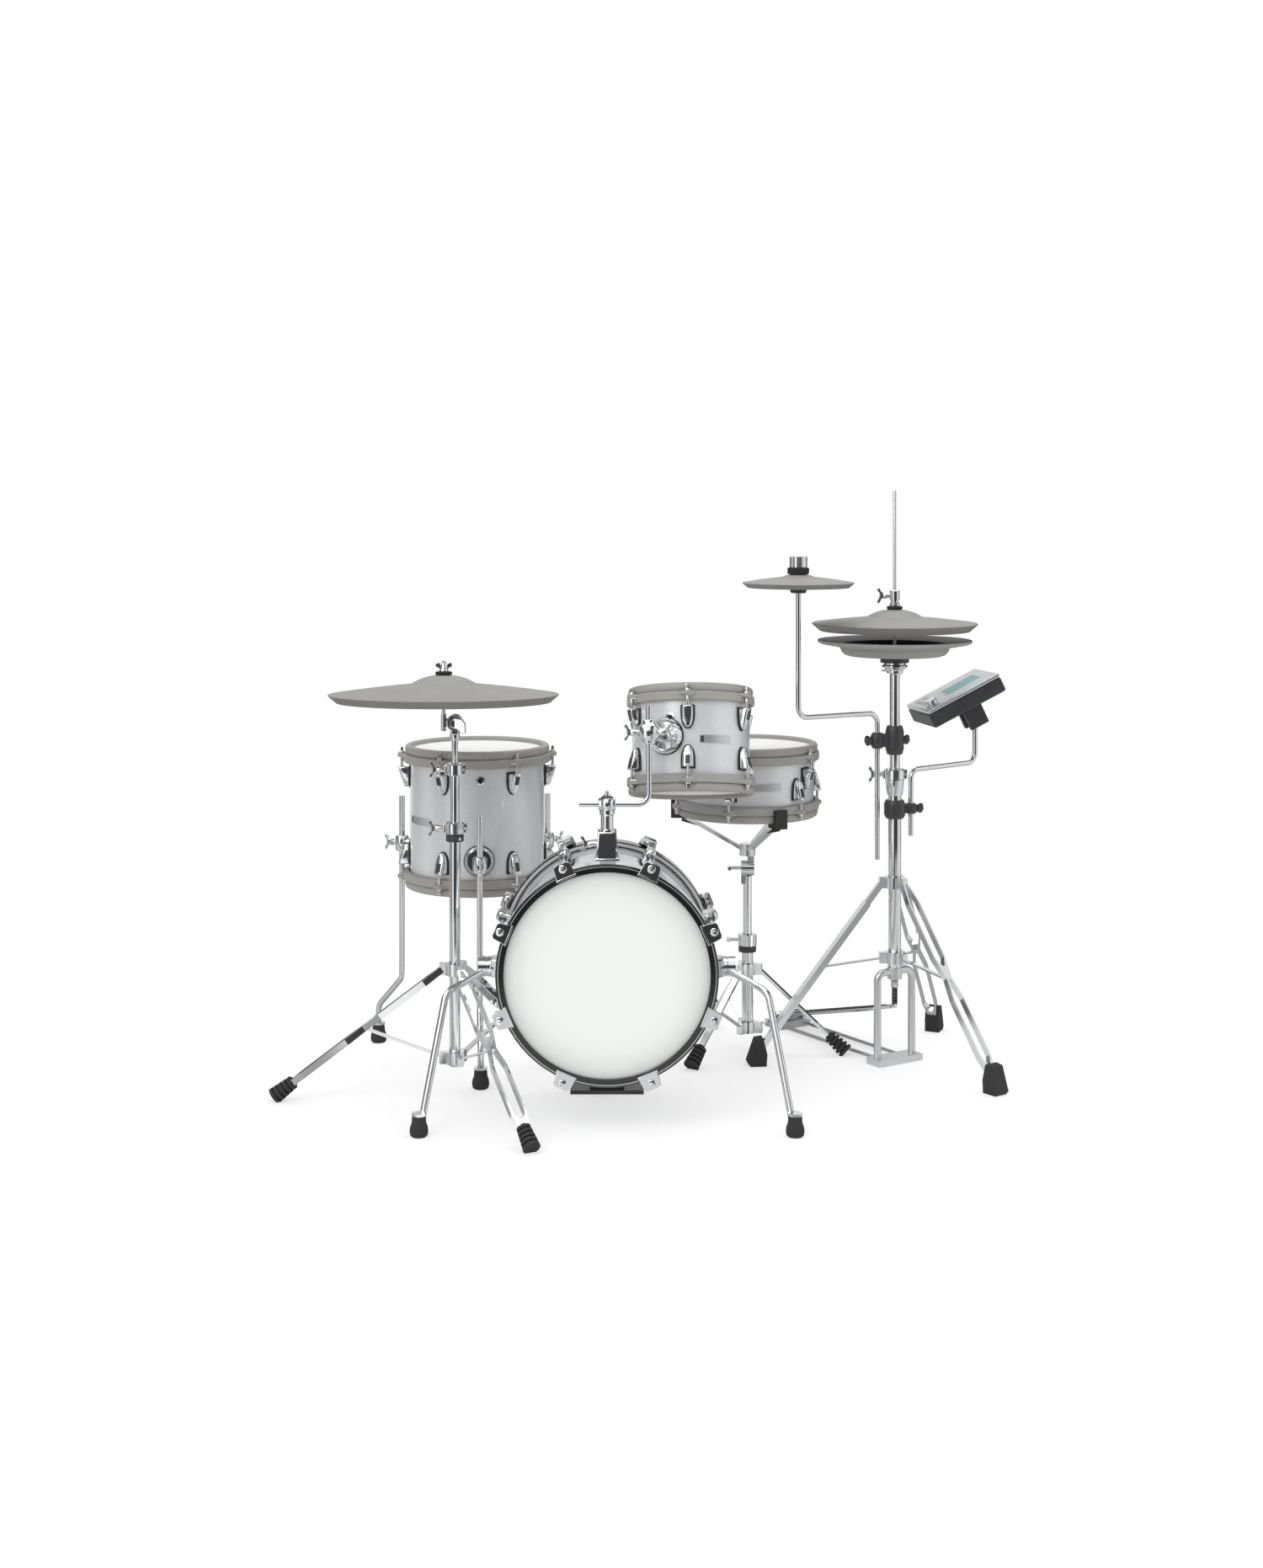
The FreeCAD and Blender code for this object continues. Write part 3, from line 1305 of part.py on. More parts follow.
def make_snare_stand():
    """Make the snare stand's sliding tube, base tube and tripod."""
    axis = vec(s.snare_x, s.snare_y, 0)
    low = s.snare_base_top_z - s.snare_tube_depth
    neck_top = s.tilter_z - s.tilter_radius
    shaft = cylinder(s.snare_tube_radius, neck_top - low, at(axis.x, axis.y, low))
    knuckle_start = axis + vec(-s.tilter_width, 0, s.tilter_z)
    knuckle = cylinder(s.tilter_radius, s.tilter_width, along(knuckle_start, X_AXIS))
    stem = box(s.tilter_width, s.tilter_radius, s.tilter_radius * 2,
               at(axis.x - s.tilter_width / 2, axis.y, neck_top - s.tilter_radius))
    lever = t_bolt(along(axis + vec(-s.tilter_width, 0, s.tilter_z), -X_AXIS))
    node("snare_upper_tube", fuse(shaft, knuckle, stem, lever))
    base = tube(s.snare_base_radius, s.snare_tube_radius + s.slide_gap,
                s.snare_base_top_z - s.snare_base_bottom_z,
                at(axis.x, axis.y, s.snare_base_bottom_z))
    clamp_z = s.snare_base_top_z - s.collar_ring_height
    clamp = collar(s.snare_base_radius, at(axis.x, axis.y, clamp_z), s.collar_ring_height)
    reach = s.snare_base_radius + s.collar_wall / 2
    bolt = t_bolt(along(axis + vec(-reach, 0, clamp_z + s.collar_ring_height / 2), -X_AXIS))
    memory = tube(s.snare_base_radius + s.memory_wall, s.snare_base_radius + s.seat_gap, s.memory_height,
                  at(axis.x, axis.y, clamp_z - s.memory_height - s.seat_gap))
    node("snare_base_tube", base, fuse(clamp, bolt), memory)
    tripod = Tripod(axis, s.snare_base_radius, s.snare_collar_z, s.snare_low_collar_z, s.snare_foot_ring,
                    SNARE_LEG_ANGLES)
    tripod.build([strip_leg] * len(SNARE_LEG_ANGLES), ribbed_foot)
    node("snare_tripod", *tripod.pieces)
    return tripod.feet


def hihat_axis():
    """Give the foot of the hi-hat's axis on the floor."""
    return vec(s.hihat_x, s.hihat_y, 0)


def pedal_frame():
    """Give the pedal's frame on the floor under the rod, with X towards the heel."""
    return at(s.hihat_x, s.hihat_y, 0).multiply(turn(Z_AXIS, PEDAL_BEARING))


def make_hihat_stand():
    """Make the hi-hat's tubes and its tripod."""
    axis = hihat_axis()
    base = tube(s.hihat_base_radius, s.hihat_upper_radius + s.slide_gap,
                s.hihat_base_top_z - s.hihat_base_bottom_z,
                at(axis.x, axis.y, s.hihat_base_bottom_z))
    clamp_z = s.hihat_base_top_z - s.collar_ring_height
    clamp = collar(s.hihat_base_radius, at(axis.x, axis.y, clamp_z), s.collar_ring_height)
    reach = s.hihat_base_radius + s.collar_wall / 2
    bolt = wing_bolt(along(axis + vec(-reach, 0, clamp_z + s.collar_ring_height / 2), -X_AXIS))
    node("hihat_base_tube", base, fuse(clamp, bolt))
    upper = tube(s.hihat_upper_radius, s.hihat_bore_radius, s.hihat_upper_top_z - s.hihat_upper_bottom_z,
                 at(axis.x, axis.y, s.hihat_upper_bottom_z))
    seat_low = s.hihat_upper_top_z - s.collar_ring_height
    seat = turned(at(axis.x, axis.y, seat_low),
                  [(s.hihat_upper_radius + s.seat_gap, 0), (s.seat_low_radius, 0),
                   (s.seat_low_radius, s.collar_ring_height), (s.seat_radius, s.collar_ring_height),
                   (s.seat_radius, s.low_hat_bowl_z - seat_low),
                   (s.hihat_bore_radius, s.low_hat_bowl_z - seat_low),
                   (s.hihat_bore_radius, s.collar_ring_height),
                   (s.hihat_upper_radius + s.seat_gap, s.collar_ring_height)])
    node("hihat_upper_tube", upper, seat)
    tripod = Tripod(axis, s.hihat_base_radius, s.hihat_collar_z, s.hihat_low_collar_z, s.hihat_foot_ring,
                    HIHAT_LEG_ANGLES)
    tripod.build([channel_leg, loop_leg, loop_leg], wedge_foot)
    node("hihat_tripod", *tripod.pieces)
    return tripod.feet


def make_hihat_pedal():
    """Make the pedal's frame, footboard and chain."""
    frame = pedal_frame()
    half = s.frame_width / 2
    corners = [(0, -half, s.base_plate_height / 2), (0, -half, s.frame_top_z), (0, half, s.frame_top_z),
               (0, half, s.base_plate_height / 2)]
    hoop = rod(s.frame_rod_radius, s.frame_bend_radius, *[frame.multVec(vec(*corner)) for corner in corners])
    plate = box(s.base_plate_length, s.base_plate_width, s.base_plate_height, frame)
    bush_low = s.frame_top_z - s.connector_radius * 2
    bush = cylinder(s.connector_radius * 2, s.hihat_base_bottom_z - bush_low,
                    frame.multiply(at(0, 0, bush_low)))
    bore = cylinder(s.hihat_bore_radius, s.frame_top_z, frame.multiply(at(0, 0, bush_low - s.overrun)))
    heel = box(s.heel_length, s.heel_width, s.heel_height, frame.multiply(at(s.heel_distance, 0, 0)))
    rods = []
    for sign in (-1, 1):
        place = frame.multiply(at(0, s.radius_rod_spread / 2 * sign, s.base_plate_height / 2))
        rods.append(cylinder(s.radius_rod_radius, s.heel_distance, place.multiply(turn(Y_AXIS, 90))))
        ear = at(s.heel_distance, (s.heel_width - s.heel_height / 2) / 2 * sign, 0)
        rods.append(box(s.heel_eye_radius * 2, s.heel_height / 2, s.heel_pin_z + s.heel_pin_radius,
                        frame.multiply(ear)))
    heel_axis = frame.multiply(at(s.heel_distance, s.heel_width / 2, s.heel_pin_z)).multiply(turn(X_AXIS, 90))
    heel_pin = cylinder(s.heel_pin_radius, s.heel_width, heel_axis)
    node("hihat_frame", cut(fuse(hoop, plate, bush, heel, heel_pin, *rods), bore))
    eye_width = s.heel_width - s.heel_height - s.slide_gap * 2
    eye_place = heel_axis.multiply(at(0, 0, (s.heel_width - eye_width) / 2))
    eye = cylinder(s.heel_eye_radius, eye_width, eye_place)
    eye_bore = cylinder(s.heel_pin_radius + s.pin_gap, s.heel_width, heel_axis)
    side = frame.Rotation.multVec(Y_AXIS)
    start = frame.multVec(vec(s.heel_distance, 0, s.heel_pin_z))
    toe = frame.multVec(vec(s.board_toe_distance, 0, s.board_toe_z))
    tongue = toe + (toe - start).normalize() * float(s.board_toe_distance)
    board = bar(start, toe, s.board_width, s.board_thickness, side)
    lip = bar(toe - (toe - start) * BOARD_LIP_SHARE, tongue, s.chain_width * 2, s.board_thickness, side)
    node("hihat_pedal", cut(fuse(eye, board, lip), eye_bore))
    make_pull_rod(bush_low, tongue.z + float(s.board_thickness * CHAIN_END_SHARE))


def make_pull_rod(bush_low, chain_low):
    """Make the pull rod with its connector and clutch, and the chain below it."""
    frame = pedal_frame()
    connector_top = bush_low - s.slide_gap
    connector_low = connector_top - s.connector_length
    shank = cylinder(s.pull_rod_radius, s.pull_rod_top_z - connector_low,
                     frame.multiply(at(0, 0, connector_low)))
    connector = cylinder(s.connector_radius, s.connector_length, frame.multiply(at(0, 0, connector_low)))
    hat = top_hat()
    clutch_low = hat.crown
    clutch_place = at(s.hihat_x, s.hihat_y, clutch_low)
    clutch = cylinder(s.clutch_radius, s.clutch_height, clutch_place)
    bolt = wing_bolt(along(clutch_place.Base + vec(-s.clutch_radius / 2, 0, s.clutch_height / 2), -X_AXIS))
    nut = cylinder(s.clutch_radius, s.felt_height, at(s.hihat_x, s.hihat_y, hat.seat - s.felt_height))
    node("hihat_pull_rod", fuse(shank, connector, clutch, bolt, nut))
    node("hihat_top_cymbal", hat.pad(), hat.felt())
    pitch = (connector_low - chain_low) / CHAIN_LINKS
    links = []
    for index in range(CHAIN_LINKS):
        centre = frame.multiply(at(0, 0, connector_low - pitch * (index + CHAIN_START_SHARE)))
        roller = centre.multiply(at(0, -s.chain_width / 2, 0)).multiply(turn(X_AXIS, -90))
        links.append(cylinder(s.chain_roller_radius, s.chain_width, roller))
        for sign in (-1, 1):
            cheek = centre.multiply(at(0, (s.chain_width - s.chain_plate) / 2 * sign, -pitch / 2))
            links.append(box(s.chain_roller_radius * 2, s.chain_plate, pitch, cheek))
    node("hihat_chain", fuse(*links))


def top_hat():
    """Give the upper hi-hat cymbal."""
    return PadCymbal(at(s.hihat_x, s.hihat_y, 0), s.hat_radius, s.hat_edge_z, s.hat_edge_height,
                     s.hat_bell_radius, s.hat_bell_rise, s.hat_bow_rise, s.hat_hole_radius, s.felt_radius,
                     s.felt_height)


def make_bottom_hat():
    """Make the lower hi-hat cymbal, an open bowl with a brim."""
    low = s.low_hat_bowl_z
    brim = s.low_hat_edge_z
    rise = brim - low
    wall = s.ride_thickness
    bowl = s.low_hat_bowl_radius
    outline = [(s.hat_hole_radius, 0), (bowl - rise / 2, 0), (bowl, rise / 2), (bowl, rise - wall),
               (s.low_hat_radius - wall, rise), (s.low_hat_radius, rise + s.low_hat_edge_height / 2),
               (s.low_hat_radius, rise + s.low_hat_edge_height),
               (s.low_hat_radius - wall * 2, rise + s.low_hat_edge_height),
               (bowl - wall, rise), (bowl - wall, rise / 2 + wall), (bowl - rise, wall),
               (s.hat_hole_radius, wall)]
    node("hihat_bottom_cymbal", turned(at(s.hihat_x, s.hihat_y, low), outline))


def rod_clamp(label, tube_radius, rod_radius, point, z, height, knob_turn):
    """Make a clamp that holds an upright rod beside the hi-hat's tube, with two knobs."""
    axis = hihat_axis()
    low = z - height / 2
    big = cylinder(tube_radius + s.clamp_wall, height, at(axis.x, axis.y, low))
    small_height = height * CLAMP_ROD_SHARE
    small = cylinder(rod_radius + s.clamp_wall, small_height, at(point.x, point.y, z - small_height / 2))
    link = bar(axis + vec(0, 0, z), point + vec(0, 0, z), s.clamp_wall * 2, height * CLAMP_LINK_SHARE, Z_AXIS)
    out = (point - axis).normalize()
    knobs = []
    tube_way = turn(Z_AXIS, knob_turn).multVec(-out)
    for base, way, radius in ((axis, tube_way, tube_radius), (point, out, rod_radius)):
        start = base + way * float(radius + s.clamp_wall / 2) + vec(0, 0, z)
        knobs.append(cylinder(s.clamp_knob_radius, s.clamp_knob_length, along(start, way)))
    length = height + s.overrun * 2
    tube_bore = cylinder(tube_radius + s.seat_gap, length, at(axis.x, axis.y, low - s.overrun))
    rod_bore = cylinder(rod_radius + s.pin_gap, length, at(point.x, point.y, low - s.overrun))
    node(label, cut(fuse(big, small, link, *knobs), tube_bore, rod_bore))


def make_splash():
    """Make the splash cymbal, its bent arm and its clamp."""
    point = vec(s.splash_rod_x, s.splash_rod_y, 0)
    top = vec(s.splash_x, s.splash_y, 0)
    rod_clamp("splash_clamp", s.hihat_upper_radius, s.splash_rod_radius, point, s.splash_clamp_z,
              s.splash_clamp_height, 0)
    frame = at(s.splash_x, s.splash_y, 0)
    pad = PadCymbal(frame, s.splash_radius, s.splash_edge_z, s.splash_edge_height, s.splash_bell_radius,
                    s.splash_bell_rise, s.splash_bow_rise, s.splash_rod_radius + s.cymbal_rod_radius,
                    s.splash_felt_radius, s.splash_felt_height)
    tip = pad.crown + s.splash_knob_height / 2
    shaft = rod(s.splash_rod_radius, s.rod_bend_radius, top + vec(0, 0, tip),
                top + vec(0, 0, s.splash_bend_z), point + vec(0, 0, s.splash_bend_z),
                point + vec(0, 0, s.splash_rod_bottom_z))
    rest_gap = s.slide_gap * ROCK_GAP_SHARE
    cup = cone(s.splash_rod_radius + s.slide_gap, s.splash_rod_radius * 2, s.cup_radius,
               frame.multiply(at(0, 0, pad.seat - rest_gap - s.cup_radius)))
    knob_low = pad.crown + rest_gap
    knob = cylinder(s.splash_knob_radius, s.splash_knob_height, frame.multiply(at(0, 0, knob_low)))
    node("splash_arm", fuse(shaft, cup, knob))
    node("splash_cymbal", pad.pad(), pad.felt())


def module_pivot():
    """Give the frame of the module's tilt axis, level with the case and turned with it."""
    pivot = at(s.module_arm_x, s.module_y, s.module_arm_top_z + s.fin_thickness / 2)
    return pivot.multiply(turn(Z_AXIS, MODULE_TURN)).multiply(turn(Y_AXIS, -MODULE_SLOPE))


def make_module():
    """Make the sound module's arm, case, panel and knob."""
    point = vec(s.module_rod_x, s.module_rod_y, 0)
    top = vec(s.module_arm_x, s.module_y, 0)
    rod_clamp("module_clamp", s.hihat_base_radius, s.splash_rod_radius, point, s.module_clamp_z,
              s.module_clamp_height, MODULE_KNOB_TURN)
    shaft = rod(s.splash_rod_radius, s.rod_bend_radius, top + vec(0, 0, s.module_arm_top_z),
                top + vec(0, 0, s.module_bend_z), point + vec(0, 0, s.module_bend_z),
                point + vec(0, 0, s.module_rod_bottom_z))
    pivot = module_pivot()
    across = pivot.multiply(turn(X_AXIS, -90))
    eye_radius = s.fin_thickness
    eye_length = s.fin_width - s.fin_thickness * 2
    eye = cylinder(eye_radius, eye_length, across.multiply(at(0, 0, -eye_length / 2)))
    pin_radius = s.fin_thickness / 2
    eye_bore = cylinder(pin_radius + s.pin_gap, s.fin_width, across.multiply(at(0, 0, -s.fin_width / 2)))
    node("module_arm", cut(fuse(shaft, eye), eye_bore))
    drop = s.fin_drop
    frame = pivot.multiply(at(-s.fin_shift, 0, drop))
    case = box(s.module_length, s.module_width, s.module_height, frame)
    cheeks = []
    for sign in (-1, 1):
        across_shift = s.fin_width / 2 - s.fin_thickness / 2 + s.slide_gap
        place = pivot.multiply(at(0, across_shift * sign, -eye_radius))
        cheeks.append(box(s.fin_width, s.fin_thickness, drop + eye_radius, place))
    fin_pin = cylinder(pin_radius, s.fin_width, across.multiply(at(0, 0, -s.fin_width / 2)))
    node("module_case", fuse(case, fin_pin, *cheeks))
    panel_place = frame.multiply(at(0, 0, s.module_height))
    panel = box(s.module_length, s.module_width, s.module_panel_height, panel_place)
    face = panel_place.multiply(at(0, 0, s.module_panel_height))
    screen = box(s.module_screen_length, s.module_screen_width, s.module_screen_height,
                 face.multiply(at(s.module_length * SCREEN_SHIFT_SHARE, 0, 0)))
    node("module_panel", panel, screen)
    knob_place = face.multiply(at(-s.module_length * KNOB_SHIFT_SHARE, -s.module_width * KNOB_SIDE_SHARE,
                                  s.slide_gap))
    node("module_knob", cylinder(s.module_knob_radius, s.module_knob_height, knob_place))


def check_and_write():
    """Check every object and each sub-part's shape, then write the sub-parts."""
    doc.recompute()
    for item in doc.Objects:
        if "Invalid" in item.State or "Error" in item.State:
            raise RuntimeError(f"{item.Name} ({item.Label}) failed: {item.State}")
    os.makedirs("parts", exist_ok=True)
    for item in NODES:
        shape = item.Shape
        if shape.isNull() or not shape.isValid() or not shape.Solids:
            raise RuntimeError(f"{item.Label} has no valid solid")
        shape.exportStep(f"parts/{item.Label}.step")
        print(f"{item.Label}: {len(shape.Solids)} solids, {shape.Volume / 1000:.1f} cm3")
    bounds = Part.makeCompound([item.Shape for item in NODES]).BoundBox
    print(f"{len(NODES)} nodes, x {bounds.XMin:.2f} to {bounds.XMax:.2f}, y {bounds.YMin:.2f} to "
          f"{bounds.YMax:.2f}, z {bounds.ZMin:.2f} to {bounds.ZMax:.2f}")


def main():
    """Build the kit from the bass drum outwards."""
    bass = make_bass_drum()
    floor_tom = make_floor_tom()
    make_brackets(floor_tom)
    make_spurs()
    make_bass_lift()
    make_tom_mount()
    make_rack_tom()
    node("drum_triggers", *bass.trigger(bass.frame, BASS_LUG_ANGLE),
         *floor_tom.trigger(floor_tom.flip(), FLOOR_LUG_ANGLE))
    feet = make_cymbal_stand()
    make_ride()
    feet += make_snare()
    feet += make_hihat_stand()
    make_hihat_pedal()
    make_bottom_hat()
    node("tripod_feet", *feet)
    make_splash()
    make_module()
    check_and_write()


main()
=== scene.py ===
"""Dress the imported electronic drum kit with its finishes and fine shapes.

Sizes are in millimetres in each piece's own frame, and the meshes are written in metres in the model's frame.
"""
import json
import logging
import math
from dataclasses import dataclass
from enum import Enum
from typing import Callable, Sequence

import bmesh
import bpy
from mathutils import Matrix, Vector

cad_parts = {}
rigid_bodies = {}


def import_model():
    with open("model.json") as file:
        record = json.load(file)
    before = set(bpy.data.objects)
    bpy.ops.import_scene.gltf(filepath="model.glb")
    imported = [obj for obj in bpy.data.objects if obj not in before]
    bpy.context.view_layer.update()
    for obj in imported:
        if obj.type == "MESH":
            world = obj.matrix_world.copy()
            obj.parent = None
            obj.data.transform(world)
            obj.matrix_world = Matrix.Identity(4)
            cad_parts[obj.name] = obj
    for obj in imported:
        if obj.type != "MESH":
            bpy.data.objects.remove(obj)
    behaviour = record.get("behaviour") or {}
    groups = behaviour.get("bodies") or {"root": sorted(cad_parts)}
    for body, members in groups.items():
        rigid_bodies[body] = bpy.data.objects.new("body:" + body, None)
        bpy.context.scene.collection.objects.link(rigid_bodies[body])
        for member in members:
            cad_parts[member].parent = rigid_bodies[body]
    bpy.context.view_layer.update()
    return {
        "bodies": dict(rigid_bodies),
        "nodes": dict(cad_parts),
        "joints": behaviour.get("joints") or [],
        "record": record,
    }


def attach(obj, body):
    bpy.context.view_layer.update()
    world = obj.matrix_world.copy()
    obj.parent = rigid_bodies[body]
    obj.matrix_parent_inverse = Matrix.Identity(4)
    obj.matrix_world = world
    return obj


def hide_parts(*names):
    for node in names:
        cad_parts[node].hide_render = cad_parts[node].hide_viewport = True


LOG = logging.getLogger("drum_kit")
MM = 0.001
SHARP_ANGLE = math.radians(38)
MERGE_DISTANCE = 0.001
BANDS_PER_UNIT = 20
COAT_ROUGHNESS = 0.06
WHITE = (1, 1, 1, 1)

# Places that several pieces share, in millimetres and degrees.
BASS_X = -98.4
BASS_Z = 300
ARM_Y = -245.5
ARM_Z = 613
ARM_REACH = 206
ARM_BEARING = -116.2
SNARE_X = 211.6
SNARE_Y = 252.5
HIHAT_X = 522.6
HIHAT_Y = 145.5

ORIGIN = Vector((0, 0, 0))
Colour = tuple[float, float, float]
Outline = Sequence[tuple[float, float]]
Test = Callable[[Vector], bool]
Rule = tuple[Test, "Look"]


class Axis(Enum):
    """An axis of a frame or a vector."""

    X = "X"
    Y = "Y"
    Z = "Z"


class Ray(Enum):
    """A kind of ray that the room and the floor tell apart."""

    CAMERA = "Is Camera Ray"
    GLOSSY = "Is Glossy Ray"
    TRANSMISSION = "Is Transmission Ray"


def move(x: float, y: float, z: float) -> Matrix:
    """Give a shift."""
    return Matrix.Translation((x, y, z))


def turn(axis: Axis, degrees: float) -> Matrix:
    """Give a turn about an axis of the frame."""
    return Matrix.Rotation(math.radians(degrees), 4, axis.value)


def beyond(radius: float, axis: Vector = ORIGIN) -> Test:
    """Give a test of whether a spot is further than a radius from an upright axis."""
    return lambda spot: (spot - axis).xy.length > radius


class Wire:
    """One shader socket, which adds Math nodes where it is used in an expression."""

    def __init__(self, graph: "Graph", socket: bpy.types.NodeSocket) -> None:
        """Hold a socket of a graph."""
        self.graph = graph
        self.socket = socket

    def _math(self, operation: str, left: "Wire | float", right: "Wire | float") -> "Wire":
        """Add one Math node.

        Args:
            operation: The Math node's operation.
            left: Its first value.
            right: Its second value.

        Returns:
            The node's result.
        """
        return self.graph.node("ShaderNodeMath", {"operation": operation}, {0: left, 1: right})

    def __add__(self, other: "Wire | float") -> "Wire":
        """Add a value."""
        return self._math("ADD", self, other)

    def __radd__(self, other: float) -> "Wire":
        """Add to a number."""
        return self._math("ADD", other, self)

    def __sub__(self, other: "Wire | float") -> "Wire":
        """Take a value away."""
        return self._math("SUBTRACT", self, other)

    def __rsub__(self, other: float) -> "Wire":
        """Take away from a number."""
        return self._math("SUBTRACT", other, self)

    def __mul__(self, other: "Wire | float") -> "Wire":
        """Multiply by a value."""
        return self._math("MULTIPLY", self, other)

    def __rmul__(self, other: float) -> "Wire":
        """Multiply a number."""
        return self._math("MULTIPLY", other, self)

    def either(self, other: "Wire | float") -> "Wire":
        """Give the greater of two values."""
        return self._math("MAXIMUM", self, other)


class Graph:
    """The nodes of one material or world."""

    def __init__(self, tree: bpy.types.NodeTree) -> None:
        """Start with an empty tree."""
        self.tree = tree
        tree.nodes.clear()

    def node(self, kind: str, settings: dict | None = None, inputs: dict | None = None,
             output: int | str = 0) -> Wire:
        """Add one node.

        Args:
            kind: The node's type.
            settings: Its properties, and "stops" for a ramp, which are set first.
            inputs: The values or links of its sockets.
            output: The socket that is wanted.

        Returns:
            The wanted output.
        """
        made = self.tree.nodes.new(kind)
        for name, value in (settings or {}).items():
            if name == "stops":
                self._set_stops(made.color_ramp.elements, value)
            else:
                setattr(made, name, value)
        for name, value in (inputs or {}).items():
            if isinstance(value, Wire):
                self.tree.links.new(value.socket, made.inputs[name])
            else:
                made.inputs[name].default_value = value
        return Wire(self, made.outputs[output] if made.outputs else None)

    @staticmethod
    def _set_stops(elements: bpy.types.ColorRampElements, stops: Sequence[tuple[float, Colour]]) -> None:
        """Give a ramp its stops.

        Args:
            elements: The ramp's elements.
            stops: Pairs of a place and a colour.
        """
        while len(elements) < len(stops):
            elements.new(1)
        for element, (place, colour) in zip(elements, stops):
            element.position = place
            element.color = (*colour, 1)

    def spot(self) -> Wire:
        """Give the Object coordinates."""
        return self.node("ShaderNodeTexCoord", output="Object")

    def component(self, way: Wire, axis: Axis) -> Wire:
        """Give one component of a vector."""
        return self.node("ShaderNodeSeparateXYZ", {}, {"Vector": way}, axis.value)

    def ray(self, kind: Ray) -> Wire:
        """Give 1 for one kind of ray."""
        return self.node("ShaderNodeLightPath", output=kind.value)

    def light(self, kind: str, colour: "Wire | tuple", strength: float) -> Wire:
        """Add a Background or an Emission."""
        return self.node(kind, {}, {"Color": colour, "Strength": strength})

    def mix(self, factor: Wire, first: Wire, second: Wire) -> Wire:
        """Mix two shaders."""
        return self.node("ShaderNodeMixShader", {}, {0: factor, 1: first, 2: second})

    def noise(self, scale: float, detail: float = 2) -> Wire:
        """Give a noise value over the piece."""
        return self.node("ShaderNodeTexNoise", {}, {"Vector": self.spot(), "Scale": scale, "Detail": detail})

    def ramp(self, value: Wire, *stops: tuple[float, Colour]) -> Wire:
        """Turn a value into a colour."""
        return self.node("ShaderNodeValToRGB", {"stops": stops}, {"Fac": value})

    def bump(self, height: Wire, strength: float, distance: float) -> Wire:
        """Give a normal from a height."""
        return self.node("ShaderNodeBump", {}, {"Height": height, "Strength": strength, "Distance": distance})

    def surface(self, inputs: dict) -> None:
        """Finish the graph with one Principled shader."""
        shader = self.node("ShaderNodeBsdfPrincipled", {}, inputs)
        self.node("ShaderNodeOutputMaterial", {}, {"Surface": shader})


def shade(colour: Colour, share: float) -> Colour:
    """Give a colour made lighter or darker by a share."""
    return tuple(min(1.0, channel * share) for channel in colour)


@dataclass(frozen=True)
class Finish:
    """A finish with fine changes in its colour, gloss and relief."""

    slot: str
    colour: Colour
    roughness: float
    metallic: float = 0.0
    mottle: float = 0.06
    mottle_scale: float = 25.0
    drift: float = 0.06
    grain_scale: float = 1500.0
    relief: float = 0.06
    coat: float = 0.0

    def paint(self, graph: Graph) -> None:
        """Fill a material's graph."""
        clouds = graph.noise(self.mottle_scale * 3, 3)
        graph.surface(self.sockets(graph, self.tint(graph), clouds, graph.noise(self.grain_scale)))

    def tint(self, graph: Graph) -> Wire:
        """Give the colour, with soft clouds in it."""
        return graph.ramp(graph.noise(self.mottle_scale, 4), (0.3, shade(self.colour, 1 - self.mottle)),
                          (0.7, shade(self.colour, 1 + self.mottle)))

    def sockets(self, graph: Graph, tint: Wire, sheen: Wire, height: Wire, depth: float = MM) -> dict:
        """Give the shader's sockets.

        Args:
            graph: The material's graph.
            tint: The colour over the surface.
            sheen: The value that the roughness drifts with.
            height: The value that the relief follows.
            depth: The relief's depth, in metres.

        Returns:
            The values and links of the sockets.
        """
        return {"Base Color": tint, "Roughness": sheen * self.drift + (self.roughness - self.drift / 2),
                "Normal": graph.bump(height, self.relief, depth), "Metallic": self.metallic,
                "Coat Weight": self.coat, "Coat Roughness": COAT_ROUGHNESS}


@dataclass(frozen=True)
class Sparkle(Finish):
    """A silver wrap of small bright flakes under a clear coat."""

    flake_scale: float = 1300.0

    def paint(self, graph: Graph) -> None:
        """Fill a material's graph.

        Args:
            graph: The material's graph.
        """
        flakes = graph.node("ShaderNodeTexVoronoi", {"voronoi_dimensions": "3D"},
                            {"Vector": graph.spot(), "Scale": self.flake_scale}, "Color")
        shine = graph.node("ShaderNodeSeparateColor", {}, {"Color": flakes})
        tint = graph.ramp(shine, (0.0, shade(self.colour, 0.9)), (0.6, self.colour),
                          (1.0, shade(self.colour, 1.15)))
        graph.surface(self.sockets(graph, tint, shine, shine))


@dataclass(frozen=True)
class Woven(Finish):
    """A white mesh skin of crossing threads."""

    pitch: float = 1.1
    directions: tuple[Axis, Axis] = (Axis.X, Axis.Y)

    def paint(self, graph: Graph) -> None:
        """Fill a material's graph.

        Args:
            graph: The material's graph.
        """
        scale = math.tau / (self.pitch * MM * BANDS_PER_UNIT)
        first, second = [graph.node("ShaderNodeTexWave", {"bands_direction": direction.value},
                                    {"Vector": graph.spot(), "Scale": scale})
                         for direction in self.directions]
        weave = first.either(second)
        tint = graph.ramp(weave, (0.2, shade(self.colour, 0.8)), (0.75, self.colour))
        graph.surface(self.sockets(graph, tint, graph.noise(self.mottle_scale), weave, MM / 3))


